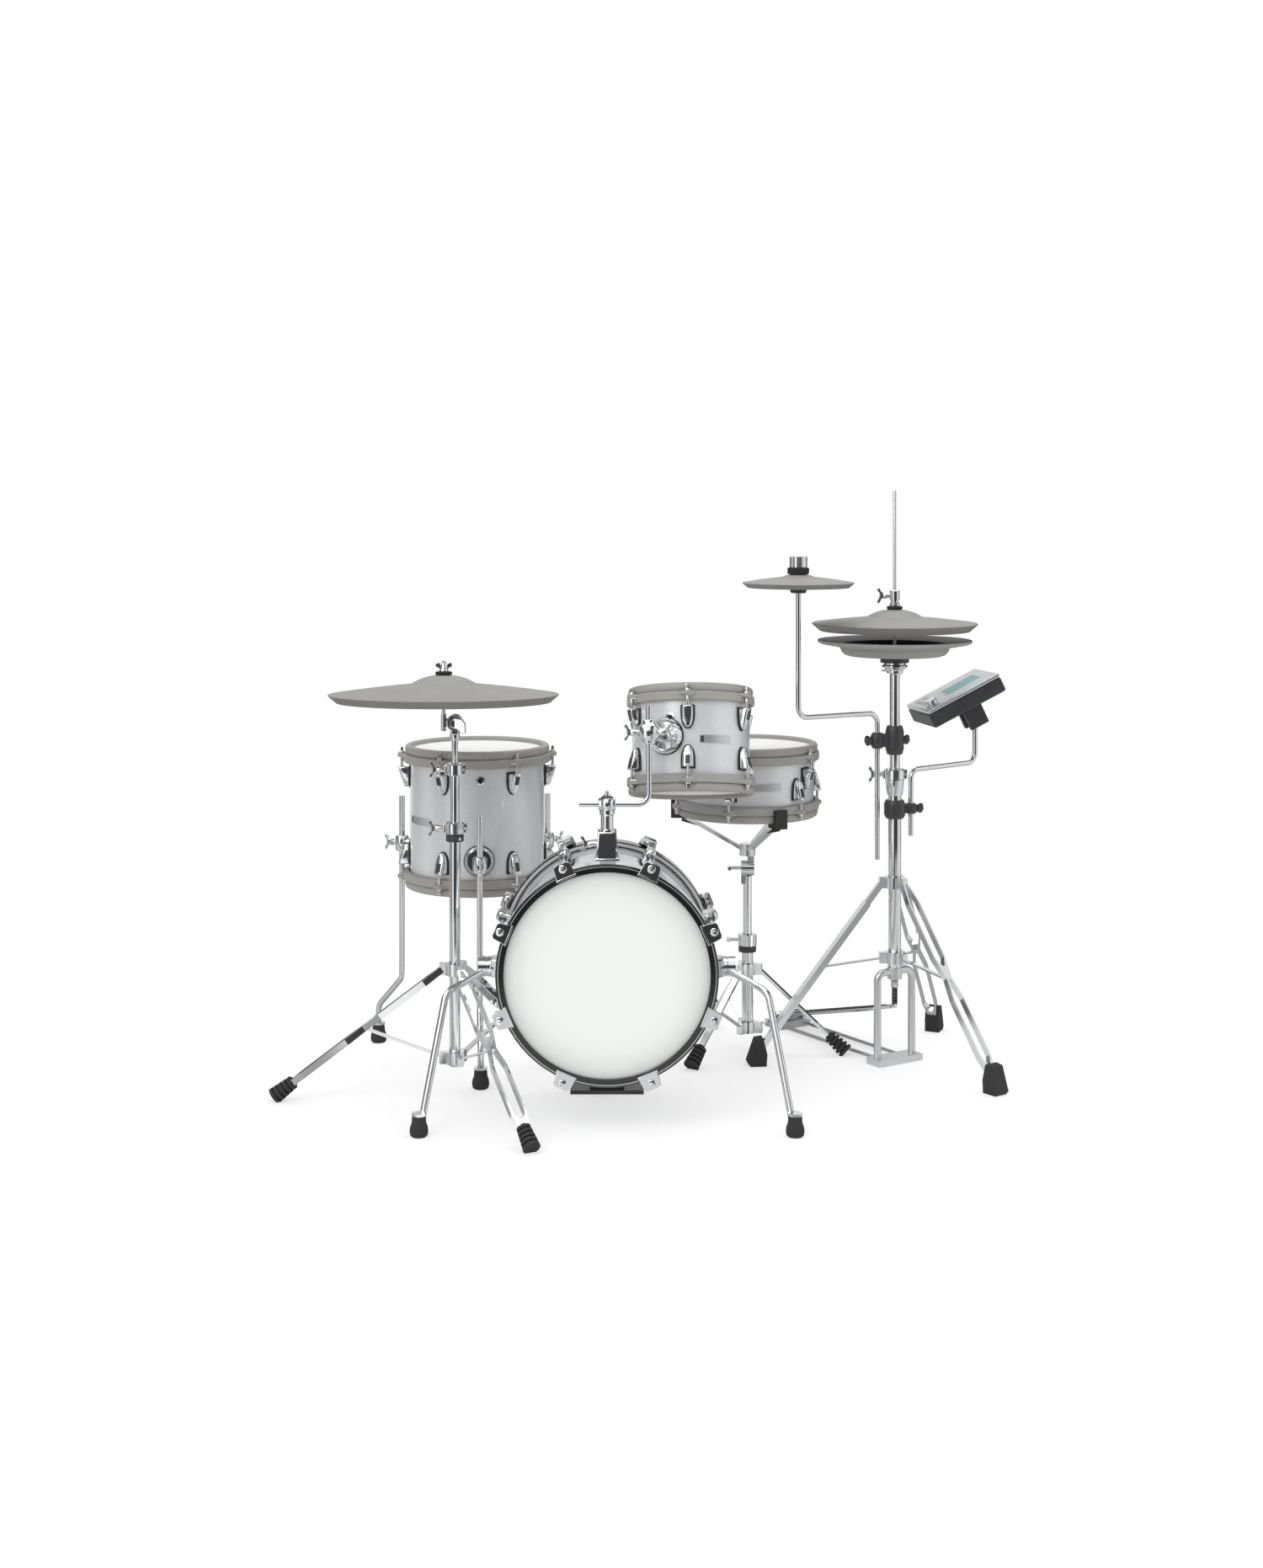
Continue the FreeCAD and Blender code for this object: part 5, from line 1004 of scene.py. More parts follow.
@dataclass(kw_only=True)
class BassDrum(Drum):
    """The bass drum with its hoops, claws, rods and lugs; its low end is the rear one."""

    depth: float = 310
    shell: float = 203
    hoop: float = 215
    hoop_height: float = 40
    rise: float = 7
    rod_ring: float = 223
    lug_count: int = 8
    lug_angle: float = 22.5
    lug_length: float = 58
    batter_y: float = -200

    def build(self, kit: Kit) -> None:
        """Dress the drum.

        Args:
            kit: The loaded kit.
        """
        kit.dress("bass_shell", Look.SPARKLE)
        kit.dress("bass_heads", Look.SHADED_FRONT_HEAD, (lambda spot: spot.y > self.batter_y, Look.MESH_BATTER))
        for name in ("bass_lift", "drum_triggers", "rack_tom_trigger", "snare_trigger"):
            kit.dress(name, Look.BLACK_PLASTIC)
        self.make_hoops()
        self.make_claws()
        self.make_lugs()

    def make_hoops(self) -> None:
        """Make the front hoop, black with a silver side, and the rear hoop, silver with a black side."""
        edge = 2.5
        section = [(self.lip, 0.8), (self.lip + 0.8, 0), (self.hoop - edge, 0), (self.hoop, edge),
                   (self.hoop, self.hoop_height - edge), (self.hoop - edge, self.hoop_height),
                   (self.bore, self.hoop_height), (self.bore, self.rise), (self.lip, self.rise)]
        inlay = [(209.2, -0.35), (210.9, -0.35), (210.9, 0.6), (209.2, 0.6)]
        rear, front = self.ends()
        piece = Piece("bass_front_ring")
        hoop = lathe(Look.BLACK_HOOP, section, 160)
        piece.add(hoop.painted(Look.SILVER_HOOP, beyond(self.hoop - 0.4)), front)
        piece.add(lathe(Look.PANEL, inlay, 160), front)
        piece.make("kit", "bass_front_hoop")
        piece = Piece("bass_rear_ring")
        hoop = lathe(Look.SILVER_HOOP, section, 160)
        piece.add(hoop.painted(Look.BLACK_HOOP, beyond(self.hoop - 1.4)), rear)
        piece.make("kit", "bass_rear_hoop")

    def make_claws(self) -> None:
        """Make the claws with their key screws, and the rods behind them."""
        piece = Piece("bass_claw_set")
        spots = self.spots()
        plate = mirrored([(204, -20), (230, -17), (234, -12)], Axis.X)
        piece.add(slab(Look.CHROME, plate, 3.6, 1.2), *at_each(spots, move(0, 0, -1.9)))
        piece.add(block(Look.CHROME, (4.4, 42, 6.6), 1.1), *at_each(spots, move(204, 0, -4.4)))
        piece.add(block(Look.CHROME, (15.6, 33, 25), 3.2, 0.86), *at_each(spots, move(223.6, 0, 0.4)))
        ring = at_each(spots, move(self.rod_ring, 0, 0))
        washer = [(0, -6.6), (6.2, -6.6), (8, -5.4), (8, -3), (0, -3)]
        piece.add(lathe(Look.CHROME, washer, 24), *ring)
        piece.add(block(Look.CHROME, (6.4, 6.4, 4.6), 0.9, 0.94),
                  *at_each(ring, move(0, 0, -6.4) @ turn(Axis.X, 180)))
        piece.add(rod(Look.CHROME, 4, 20, (self.depth - self.lug_length) / 2 + 8, 18), *ring)
        piece.add(lathe(Look.CHROME, [(0, 25), (7, 25), (7, 30), (5.4, 36), (0, 36)], 20), *ring)
        piece.make("kit", "bass_claws_and_rods")

    def make_lugs(self) -> None:
        """Make the lugs between the rods, each with a foot, a body and two rod sockets."""
        piece = Piece("bass_lug_set")
        middles = at_each(self.spots()[:self.lug_count], move(0, 0, self.depth / 2))
        feet = at_each(middles, move(self.shell + SEAT_GAP, 0, 0) @ SIDEWAYS)
        piece.add(block(Look.BLACK_RUBBER, (28, 59, 1.8), 0.7), *feet)
        piece.add(block(Look.CHROME, (26, 57, 33), 6, 0.72), *at_each(feet, move(0, 0, 1)))
        socket = [(0, -6), (8.6, -6), (9.2, -3), (9.2, 4), (7, 8), (0, 8)]
        outward = move(0, 0, 22)
        piece.add(lathe(Look.CHROME, socket, 24), *[
            middle @ move(self.rod_ring, 0, 0) @ turn(Axis.X, angle) @ outward
            for angle in (180, 0) for middle in middles])
        piece.make("kit", "bass_lugs")


def add_disc_bracket(piece: Piece, place: Matrix, radius: float, height: float, neck: float, reach: float,
                     core: Look = Look.BLACK_PLASTIC) -> None:
    """Add a disc on a shell with a ribbed centre and a neck.

    Args:
        piece: The piece that takes it.
        place: The frame on the shell, with Z outwards.
        radius: The disc's radius.
        height: How far the disc stands out.
        neck: The neck's radius.
        reach: Where the neck ends.
        core: The finish of the centre and its ribs.
    """
    rim = radius - 6
    gasket = [(0, 0), (radius, 0), (radius, 2), (0, 2)]
    ring = [(rim - 5, 2), (radius - 1.5, 2), (radius - 2, height * 0.6), (rim, height),
            (rim - 3, height * 0.8), (rim - 5, height * 0.5)]
    centre = [(0, 2), (rim - 2, 2), (rim - 4, height * 0.62), (neck, height * 0.75), (0, height * 0.75)]
    stem = [(0, height * 0.6), (neck + 2.4, height * 0.6), (neck + 1.6, height + 1.5), (neck, height + 3.5),
            (neck, reach), (0, reach)]
    piece.add(lathe(Look.BLACK_RUBBER, gasket, 48), place)
    piece.add(lathe(Look.CHROME, ring, 48), place)
    piece.add(lathe(core, centre, 40), place)
    piece.add(block(core, (rim - neck - 6, 2.4, height * 0.24), 0.8),
              *around(place, 10, move((rim + neck) / 2 - 2, 0, height * 0.55)))
    piece.add(lathe(Look.CHROME, stem), place)


@dataclass(kw_only=True)
class TomMount:
    """The casting on the bass drum, its post, and the bracket that holds the rack tom on the bent arm."""

    rack: TomDrum
    base: Vector
    arm_z: float
    bearing: float
    reach: float
    width: float = 50
    length: float = 50
    height: float = 62
    foot_height: float = 8
    taper: float = 0.84
    post_radius: float = 12.5
    post_depth: float = 120
    bracket_z: float = 112

    def build(self, kit: Kit) -> None:
        """Make the mount's pieces.

        Args:
            kit: The loaded kit.
        """
        kit.dress("tom_arm", Look.CHROME)
        self.make_base()
        self.make_post()
        self.make_bracket()

    def make_base(self) -> None:
        """Make the casting: a foot, a tapered body with two dark panels, a collar and a wing bolt."""
        piece = Piece("tom_mount_casting")
        place = Matrix.Translation(self.base)
        piece.add(block(Look.CHROME, (self.width, self.length, 7), 2.2, 0.94), place)
        depth = self.length - 4
        tall = self.height - self.foot_height
        piece.add(block(Look.CHROME, (self.width - 6, depth, tall), 3.2, self.taper), place @ move(0, 0, 4))
        lean = math.degrees(math.atan2(depth * (1 - self.taper) / 2, tall))
        for side in (-1, 1):
            panel = block(Look.BLACK_PLASTIC, (34, 2, 46), 0.8, 0.88)
            piece.add(panel, place @ move(0, side * (depth / 2 - 0.2), 6) @ turn(Axis.X, side * lean))
        collar = [(12.6, -6), (18.5, -6), (18, -1.5), (15, 0), (12.6, 0)]
        piece.add(lathe(Look.CHROME, collar, 36), place @ move(0, 0, self.height))
        add_wing_bolt(piece, place @ move(-20, 0, self.height / 2) @ turn(Axis.Y, -90), 18)
        piece.make("kit", "tom_mount_base")

    def make_post(self) -> None:
        """Make the post with a ball clamp round the arm and a bolt on its top."""
        piece = Piece("tom_post_clamp")
        head = move(self.base.x, self.base.y, self.arm_z)
        low = self.base.z - self.post_depth - self.arm_z
        radius = self.post_radius
        post = [(0, low), (radius, low), (radius, -22), (radius + 2.5, -19), (radius + 2.5, -12), (0, -12)]
        clamp = mirrored([(5.7, -17), (11, -17), (12.5, -15), (12.5, -8), (14, -6)], Axis.X)
        cap = [(0, 10), (13, 10), (12, 14), (7, 16.8), (0, 16.8)]
        bolt = [(0, 15), (6, 15), (6, 20), (3.6, 21), (3.6, 25.5), (2.6, 27), (0, 27)]
        piece.add(lathe(Look.CHROME, post, 40), head)
        piece.add(ball(Look.CHROME, 17.5), head)
        piece.add(lathe(Look.CHROME, clamp, 36), head @ turn(Axis.Y, 90))
        piece.add(lathe(Look.BLACK_PLASTIC, cap, 30), head)
        piece.add(lathe(Look.CHROME, bolt, 24), head)
        piece.make("tom_post", "tom_mount_post")

    def make_bracket(self) -> None:
        """Make the rack tom's disc bracket, ball clamp and two wing bolts."""
        piece = Piece("rack_tom_clamp")
        side = self.rack.frame @ turn(Axis.Z, self.bearing)
        disc = side @ move(self.rack.shell + SEAT_GAP, 0, self.bracket_z) @ turn(Axis.Y, 90)
        add_disc_bracket(piece, disc, radius=38, height=16, neck=13, reach=self.reach - self.rack.shell - 16,
                         core=Look.CAST_CHROME)
        centre = side @ move(self.reach, 0, self.bracket_z)
        piece.add(ball(Look.CHROME, 23), centre)
        piece.add(lathe(Look.CHROME, sleeve(5.8, 14, -24, 24, inset=3, rise=5)), centre)
        for angle in (-60, 90):
            add_wing_bolt(piece, centre @ turn(Axis.Z, angle) @ turn(Axis.Y, 90) @ move(0, 0, 19))
        piece.make("rack_tom", "rack_tom_bracket")


@dataclass(kw_only=True)
class LegFittings:
    """The floor tom's leg brackets, the bass drum's spur brackets, and the bent legs and spurs."""

    floor_tom: TomDrum
    spur_hub: Vector
    leg_angles: tuple[float, float, float]
    leg_ring: float = 195
    leg_radius: float = 6.45
    bracket_height: float = 77
    clamp_radius: float = 15
    clamp_height: float = 34
    spur_reach: float = 240
    spur_inner: float = 203.2
    foot_top: float = 40

    def build(self, kit: Kit) -> None:
        """Dress the legs and make the brackets.

        Args:
            kit: The loaded kit.
        """
        rubber: Rule = (lambda spot: spot.z < self.foot_top - 0.2, Look.BLACK_RUBBER)
        for name in ("floor_tom_leg_front", "floor_tom_leg_right", "floor_tom_leg_left", "bass_spur_left",
                     "bass_spur_right"):
            kit.dress(name, Look.CHROME, rubber)
        piece = Piece("bracket_set")
        for angle in self.leg_angles:
            self.add_leg_bracket(piece, angle)
        for sign in (-1, 1):
            self.add_spur_bracket(piece, sign)
        piece.make("kit", "spur_and_leg_brackets")

    def add_leg_bracket(self, piece: Piece, angle: float) -> None:
        """Add one disc bracket with the clamp round its leg.

        Args:
            piece: The piece that takes it.
            angle: The leg's angle round the drum.
        """
        side = self.floor_tom.frame @ turn(Axis.Z, angle) @ move(0, 0, self.bracket_height)
        shell = self.floor_tom.shell + SEAT_GAP
        disc = side @ move(shell, 0, 0) @ turn(Axis.Y, 90)
        add_disc_bracket(piece, disc, radius=33, height=14, neck=11, reach=self.leg_ring - shell - 8)
        clamp = side @ move(self.leg_ring, 0, 0)
        half = self.clamp_height / 2
        section = sleeve(self.leg_radius, self.clamp_radius, -half, half, inset=3, rise=4)
        piece.add(lathe(Look.CHROME, section, 36), clamp)
        add_wing_bolt(piece, clamp @ turn(Axis.Y, 90) @ move(0, 0, self.clamp_radius - 2), 17)

    def add_spur_bracket(self, piece: Piece, sign: int) -> None:
        """Add one spur bracket with its hub, pin and two screws.

        Args:
            piece: The piece that takes it.
            sign: The drum's side, -1 or 1.
        """
        width = self.spur_reach - self.spur_inner
        out = Matrix.Translation(self.spur_hub) @ move(self.spur_inner * sign, 0, 0) @ turn(Axis.Y, 90 * sign)
        end = out @ move(0, 0, width)
        piece.add(block(Look.BLACK_RUBBER, (44, 52, 2), 0.8), out)
        piece.add(block(Look.CHROME, (42, 50, width - 9), 4, 0.86), out @ move(0, 0, 1))
        piece.add(lathe(Look.CHROME, [(0, -12), (20, -12), (20, -2), (18, -0.2), (0, -0.2)], 36), end)
        piece.add(rod(Look.STEEL, 6, -4, 15.4), end)
        for side in (-1, 1):
            piece.add(lathe(Look.CHROME, [(0, 0), (4.6, 0), (4.2, 3), (0, 4)], 20),
                      end @ move(0, side * 20, -11) @ turn(Axis.X, -90 * side))


def add_collar(piece: Piece, place: Matrix, bore: float, radius: float, high: float) -> None:
    """Add a height collar with a hinge at one side and a wing bolt at the other.

    Args:
        piece: The piece that takes it.
        place: The tube's frame.
        bore: The tube's radius.
        radius: The collar's radius.
        high: Where the collar ends.
    """
    low = high - COLLAR_HEIGHT
    middle = place @ move(0, 0, (low + high) / 2)
    piece.add(lathe(Look.CHROME, sleeve(bore, radius, low, high, inset=2, rise=2), 40), place)
    piece.add(block(Look.CHROME, (10, 9, COLLAR_HEIGHT - 4), 1.6), place @ move(radius, 0, low + 2))
    piece.add(rod(Look.STEEL, 2.6, -8, 8, 14), middle @ move(radius + 2, 0, 0) @ turn(Axis.X, 90))
    piece.add(block(Look.CHROME, (8, 11, COLLAR_HEIGHT - 5), 1.6), place @ move(-radius, 0, low + 2.5))
    add_wing_bolt(piece, middle @ move(-radius, 0, 0) @ turn(Axis.Y, -90), 20)


@dataclass(kw_only=True)
class PadCymbal:
    """A grey rubber pad shaped as a cymbal, with a bevelled rim and a felt on its bell."""

    name: str
    body: str
    node: str
    frame: Matrix
    radius: float
    edge_z: float
    edge_height: float
    bell_radius: float
    bell_rise: float
    bow_rise: float
    hole: float
    pitch: float = 6
    groove: float = 0.0
    thickness: float = 7
    felt_radius: float = 17
    felt_height: float = 7
    felt_gap: float = 0.3
    cup_height: float = 14
    bell_steps: int = 12

    @property
    def rim(self) -> float:
        """Give the height of the bow's outer edge."""
        return self.edge_z + self.edge_height

    @property
    def top(self) -> float:
        """Give the height of the bell's top."""
        return self.rim + self.bell_rise

    @property
    def crown(self) -> float:
        """Give the height of the felt's top."""
        return self.top + self.felt_gap + self.felt_height

    def bow(self) -> Outline:
        """Give the top line from the rim to the bell, with its grooves.

        Returns:
            The (radius, height) points.
        """
        width = self.radius - self.bell_radius
        count = max(2, round(width / self.pitch) * 2)
        line = []
        for index in range(count + 1):
            share = 1 - index / count
            rise = (1 - share) + 0.05 * math.sin(math.pi * share)
            dip = self.groove if index % 2 else 0
            line.append((self.bell_radius + width * share, self.rim + self.bow_rise * rise - dip))
        return line

    def bell(self) -> Outline:
        """Give the top line from the bell's foot to the hole.

        Returns:
            The (radius, height) points.
        """
        line = []
        for index in range(1, self.bell_steps + 1):
            share = 1 - index / self.bell_steps
            rise = 1 - share ** 2.2
            line.append((self.hole + (self.bell_radius - self.hole) * share,
                         self.rim + self.bow_rise + (self.bell_rise - self.bow_rise) * rise))
        return line

    def on_cup(self, clear: float) -> Test:
        """Give a test of whether a spot is on the cup under the bell.

        Args:
            clear: The radius of the rod through the cup.
        """
        local = self.frame.inverted()
        high = self.top - self.thickness - REST_GAP + 0.5
        off_rod = beyond(clear)

        def test(spot: Vector) -> bool:
            """Tell whether a spot is on the cup."""
            here = local @ spot
            return high - self.cup_height - 1 < here.z < high and off_rod(here)

        return test

    def build(self) -> None:
        """Make the pad and its felt."""
        piece = Piece(self.name)
        high = [(self.radius - 1, self.rim), *self.bow()[1:], *self.bell()]
        inner = self.radius - self.edge_height * 2
        low = [(radius, height - self.thickness) for radius, height in reversed(high) if radius < inner]
        section = [*high, *low, (inner, self.rim - self.thickness),
                   (self.radius - self.edge_height, self.edge_z),
                   (self.radius, self.edge_z + self.edge_height * 0.86), (self.radius - 0.2, self.rim - 0.9)]
        off_bow = beyond(inner - 4)

        def on_rim(middle: Vector) -> bool:
            """Tell whether a face is on the rim's side."""
            return middle.z < self.rim - 0.8 and off_bow(middle)

        piece.add(lathe(Look.PAD, section, 144).painted(Look.PAD_RIM, on_rim), self.frame)
        felt = sleeve(self.hole, self.felt_radius, 0, self.felt_height, inset=2, rise=1.6)
        piece.add(lathe(Look.FELT, felt, 36), self.frame @ move(0, 0, self.top + self.felt_gap))
        piece.make(self.body, self.node)


@dataclass(kw_only=True)
class CymbalStand:
    """The ride's stand: two tubes, a collar, the tilter and the ride on its rod."""

    x: float
    y: float
    tilt: float = -1.8
    hinge_z: float = 766
    hinge_y: float = -11
    rod_shift: tuple[float, float] = (-23, 5.8)
    ride_z: float = 807
    rod_radius: float = 4.05
    lower_radius: float = 11
    lower_bore: float = 9.3
    lower_z: float = 76
    joint_z: float = 566
    upper_radius: float = 9
    upper_z: float = 440
    shoulder_z: float = 672
    top_radius: float = 6.35
    memory_radius: float = 18
    memory_height: float = 14

    def build(self, kit: Kit) -> None:
        """Dress the stand.

        Args:
            kit: The loaded kit.
        """
        place = move(self.x, self.y, 0)
        kit.dress("cymbal_tripod", Look.CHROME)
        self.make_lower(place)
        self.make_upper(place)
        rod_frame = place @ move(*self.rod_shift, self.hinge_z) @ turn(Axis.X, self.tilt)
        ride = PadCymbal(name="ride_pad", body="ride", node="ride_cymbal", frame=rod_frame, radius=232,
                         edge_z=self.ride_z - self.hinge_z, edge_height=16, bell_radius=66, bell_rise=38,
                         bow_rise=20.5, hole=7, groove=0.5)
        ride.build()
        kit.dress("cymbal_tilter", Look.CHROME, (ride.on_cup(self.rod_radius + 0.25), Look.BLACK_PLASTIC))
        self.make_nut(rod_frame @ move(0, 0, ride.crown + REST_GAP))

    def make_lower(self, place: Matrix) -> None:
        """Make the lower tube with its collar and the memory ring below it.

        Args:
            place: The stand's frame, on the floor.
        """
        piece = Piece("cymbal_lower_tube")
        piece.add(tube(Look.CHROME, self.lower_radius, self.lower_bore, self.lower_z, self.joint_z), place)
        add_collar(piece, place, self.lower_radius, 19, self.joint_z)
        half = self.memory_height / 2
        ring = place @ move(0, 0, self.joint_z - COLLAR_HEIGHT - SEAT_GAP - half)
        section = sleeve(self.lower_radius, self.memory_radius, -half, half, inset=1.2, rise=1.2)
        piece.add(lathe(Look.BLACK_PLASTIC, section, 36), ring)
        bolt = ring @ turn(Axis.Z, -60) @ move(self.memory_radius - 1, 0, 0) @ turn(Axis.Y, 90)
        piece.add(rod(Look.CHROME, 3.2, 0, 6, 14), bolt)
        piece.make("kit", "cymbal_base_tube")

    def make_upper(self, place: Matrix) -> None:
        """Make the sliding tube, its collar, the thin top tube and the tilter's fixed half.

        Args:
            place: The stand's frame, on the floor.
        """
        piece = Piece("cymbal_top_tube")
        piece.add(rod(Look.CHROME, self.upper_radius, self.upper_z, self.shoulder_z, 36), place)
        piece.add(rod(Look.CHROME, self.top_radius, self.shoulder_z - 2, self.hinge_z - 18, 30), place)
        add_collar(piece, place, 8, 16.5, self.shoulder_z + COLLAR_HEIGHT / 2)
        hinge = place @ move(0, 0, self.hinge_z)
        neck = [(0, -35), (9.5, -35), (10.5, -31), (9.5, -14), (6.4, -9), (0, -9)]
        knuckle = [(0, 0), (14.5, 0), (17, 2.2), (17, 10.8), (0, 10.8)]
        hub = [(0, 0), (9, 0), (9, 9), (7, 12), (0, 12)]
        handle = [(-7, -8), (7, -11), (19, -21), (25, -18), (24, 2), (16, 10), (0, 11), (-8, 5)]
        side = hinge @ move(0, self.hinge_y, 0)
        lever = side @ turn(Axis.X, 90)
        piece.add(lathe(Look.CHROME, neck), hinge)
        piece.add(lathe(Look.CHROME, knuckle, 40), side @ turn(Axis.X, -90))
        piece.add(block(Look.CHROME, (15, 10.4, 24), 2), hinge @ move(0, -5.4, -24))
        piece.add(lathe(Look.CHROME, hub, 28), lever)
        piece.add(slab(Look.CHROME, handle, 5, 1.6, 3), lever @ move(0, 0, 9) @ turn(Axis.Y, -17))
        piece.make("cymbal_tube", "cymbal_upper_tube")

    def make_nut(self, place: Matrix) -> None:
        """Make the wing nut on the ride's rod.

        Args:
            place: The nut's frame.
        """
        piece = Piece("ride_nut_wings")
        bore = self.rod_radius
        hub = [(bore, 0), (9.5, 0), (9, 3), (7, 6), (6.4, 14), (5.4, 16), (bore, 16)]
        piece.add(lathe(Look.CHROME, hub, 28), place)
        wing = [(6, 4), (17, 9), (16.8, 15), (13, 18.5), (8, 17), (5.6, 12)]
        piece.add(slab(Look.CHROME, wing, 4.2, 1.5, 3), *around(place, 2, turn(Axis.X, 90)))
        piece.make("ride_nut", "ride_wing_nut")


@dataclass(kw_only=True)
class SnareStand:
    """The snare drum's stand, which keeps its shape and takes its finishes."""

    x: float
    y: float
    tube_radius: float = 11
    grip_ring: float = 132
    memory_low: float = 215.6
    memory_high: float = 230

    def build(self, kit: Kit) -> None:
        """Dress the stand and its basket.

        Args:
            kit: The loaded kit.
        """
        axis = Vector((self.x, self.y, 0))
        off_tube = beyond(self.tube_radius, axis)

        def on_memory(spot: Vector) -> bool:
            """Tell whether a face is on the ring below the collar."""
            return self.memory_low < spot.z < self.memory_high and off_tube(spot)

        kit.dress("snare_tripod", Look.CHROME)
        kit.dress("snare_base_tube", Look.CHROME, (on_memory, Look.BLACK_PLASTIC))
        kit.dress("snare_upper_tube", Look.CHROME)
        kit.dress("snare_basket", Look.CHROME, (beyond(self.grip_ring, axis), Look.BLACK_RUBBER))


@dataclass(kw_only=True)
class HiHat:
    """The hi-hat: stand, pedal, pull rod, clutch and two cymbals."""

    x: float
    y: float
    heading: float
    base_radius: float = 14
    base_z: float = 205
    joint_z: float = 633
    upper_radius: float = 11
    upper_bore: float = 5
    upper_z: float = 470
    seat_z: float = 862
    rod_radius: float = 3.5
    rod_z: float = 165
    top_z: float = 1233
    heel_reach: float = 376
    heel_z: float = 26
    toe_reach: float = 30
    toe_z: float = 112

    def build(self, kit: Kit) -> None:
        """Dress the hi-hat.

        Args:
            kit: The loaded kit.
        """
        place = move(self.x, self.y, 0)
        kit.dress("hihat_tripod", Look.CHROME)
        kit.dress("tripod_feet", Look.BLACK_RUBBER)
        kit.dress("hihat_frame", Look.STEEL)
        kit.dress("hihat_chain", Look.DARK_STEEL)
        self.make_lower(place)
        self.make_upper(place)
        hat = PadCymbal(name="hihat_top_pad", body="hihat_rod", node="hihat_top_cymbal", frame=place,
                        radius=178, edge_z=930.5, edge_height=17, bell_radius=60, bell_rise=29, bow_rise=13,
                        hole=6)
        hat.build()
        self.make_low_hat(place @ move(0, 0, self.seat_z + 15))
        self.make_rod(place, hat)
        self.make_pedal(place @ turn(Axis.Z, self.heading))

    def make_lower(self, place: Matrix) -> None:
        """Make the lower tube with its collar and the cone below it.

        Args:
            place: The stand's frame, on the floor.
        """
        piece = Piece("hihat_lower_tube")
        bore = self.upper_radius + 0.3
        piece.add(tube(Look.CHROME, self.base_radius, bore, self.base_z, self.joint_z), place)
        add_collar(piece, place, self.base_radius, 22, self.joint_z)
        cone = [(self.base_radius, -34), (16.5, -34), (17.5, -31), (20, -4), (20, 0), (self.base_radius, 0)]
        piece.add(lathe(Look.CHROME, cone, 40), place @ move(0, 0, self.joint_z - COLLAR_HEIGHT + 1))
        piece.make("kit", "hihat_base_tube")

    def make_upper(self, place: Matrix) -> None:
        """Make the sliding tube and the seat that the lower cymbal rests on.

        Args:
            place: The stand's frame, on the floor.
        """
        piece = Piece("hihat_top_tube")
        piece.add(tube(Look.CHROME, self.upper_radius, self.upper_bore, self.upper_z, self.seat_z), place)
        head = place @ move(0, 0, self.seat_z)
        bore = self.upper_radius + SEAT_GAP
        collar = [(bore, -24), (16, -24), (18, -22), (18, -17), (22, -14), (22, -11), (bore, -11)]
        seat = [(bore, -11), (26, -11), (28, -9), (28, -6), (24, -4), (24, 0), (bore, 0)]
        bush = [(self.upper_bore, 0), (30, 0), (31, 1), (31, 13.5), (30, 14.6), (self.upper_bore, 14.6)]
        piece.add(lathe(Look.CHROME, collar, 48), head)
        piece.add(lathe(Look.CAST_CHROME, seat, 48), head)
        piece.add(lathe(Look.BLACK_PLASTIC, bush, 48), head)
        key = head @ turn(Axis.Z, -50) @ move(-14, 0, -19) @ turn(Axis.Y, -90)
        piece.add(rod(Look.CHROME, 3.2, 0, 12, 18), key)
        piece.add(block(Look.CHROME, (4, 15, 9), 1.4), key @ move(0, 0, 10))
        piece.make("hihat_tube", "hihat_upper_tube")

    def make_low_hat(self, place: Matrix) -> None:
        """Make the lower cymbal, an open bowl with a brim and a dark inside.

        Args:
            place: The frame under the bowl.
        """
        section = [(6, 0), (100, 0), (108, 2.4), (114, 8), (117, 15), (117.6, 18.4), (159, 26), (164.6, 28.4),
                   (166, 31), (166, 33.2), (165, 34), (152, 34), (110, 26), (109.4, 20),
                   (103, 12), (91, 7), (6, 7)]
        off_bowl = beyond(111)
        off_inside = beyond(158)

        def inside(middle: Vector) -> bool:
            """Tell whether a face is inside the bowl."""
            under_brim = middle.z < 27 and off_bowl(middle)
            return middle.z > 6.5 and not off_inside(middle) and not under_brim

        piece = Piece("hihat_low_pad")
        piece.add(lathe(Look.PAD, section, 128).painted(Look.BLACK_PLASTIC, inside), place)
        piece.make("hihat_tube", "hihat_bottom_cymbal")

    def make_rod(self, place: Matrix, hat: PadCymbal) -> None:
        """Make the pull rod with its connector, the clutch and the nut under the upper cymbal.

        Args:
            place: The stand's frame, on the floor.
            hat: The upper cymbal.
        """
        piece = Piece("hihat_rod_and_clutch")
        bore = self.rod_radius
        piece.add(rod(Look.STEEL, bore, self.rod_z, self.top_z, 24, 0.6), place)
        connector = sleeve(0, 8, self.rod_z - 3.3, self.rod_z + 14.7, inset=1, rise=1.3)
        piece.add(lathe(Look.STEEL, connector, 6), place)
        head = place @ move(0, 0, hat.crown)
        clutch = [(bore, 0), (10, 0), (11, 1), (11, 7), (8.6, 8.5), (8.6, 12), (11, 13.5), (11, 33), (10, 34),
                  (bore, 34)]
        piece.add(lathe(Look.CHROME, clutch), head)
        piece.add(block(Look.CHROME, (2, 2.6, 5), 0.6), *around(head, 12, move(10.4, 0, 1.4)))
        add_wing_bolt(piece, head @ move(-5.5, 0, 23) @ turn(Axis.Y, -90), 18)
        seat = hat.top - hat.thickness
        piece.add(lathe(Look.CHROME, sleeve(bore, 11, seat - 7, seat, inset=1, rise=1), 6), place)
        piece.make("hihat_rod", "hihat_pull_rod")

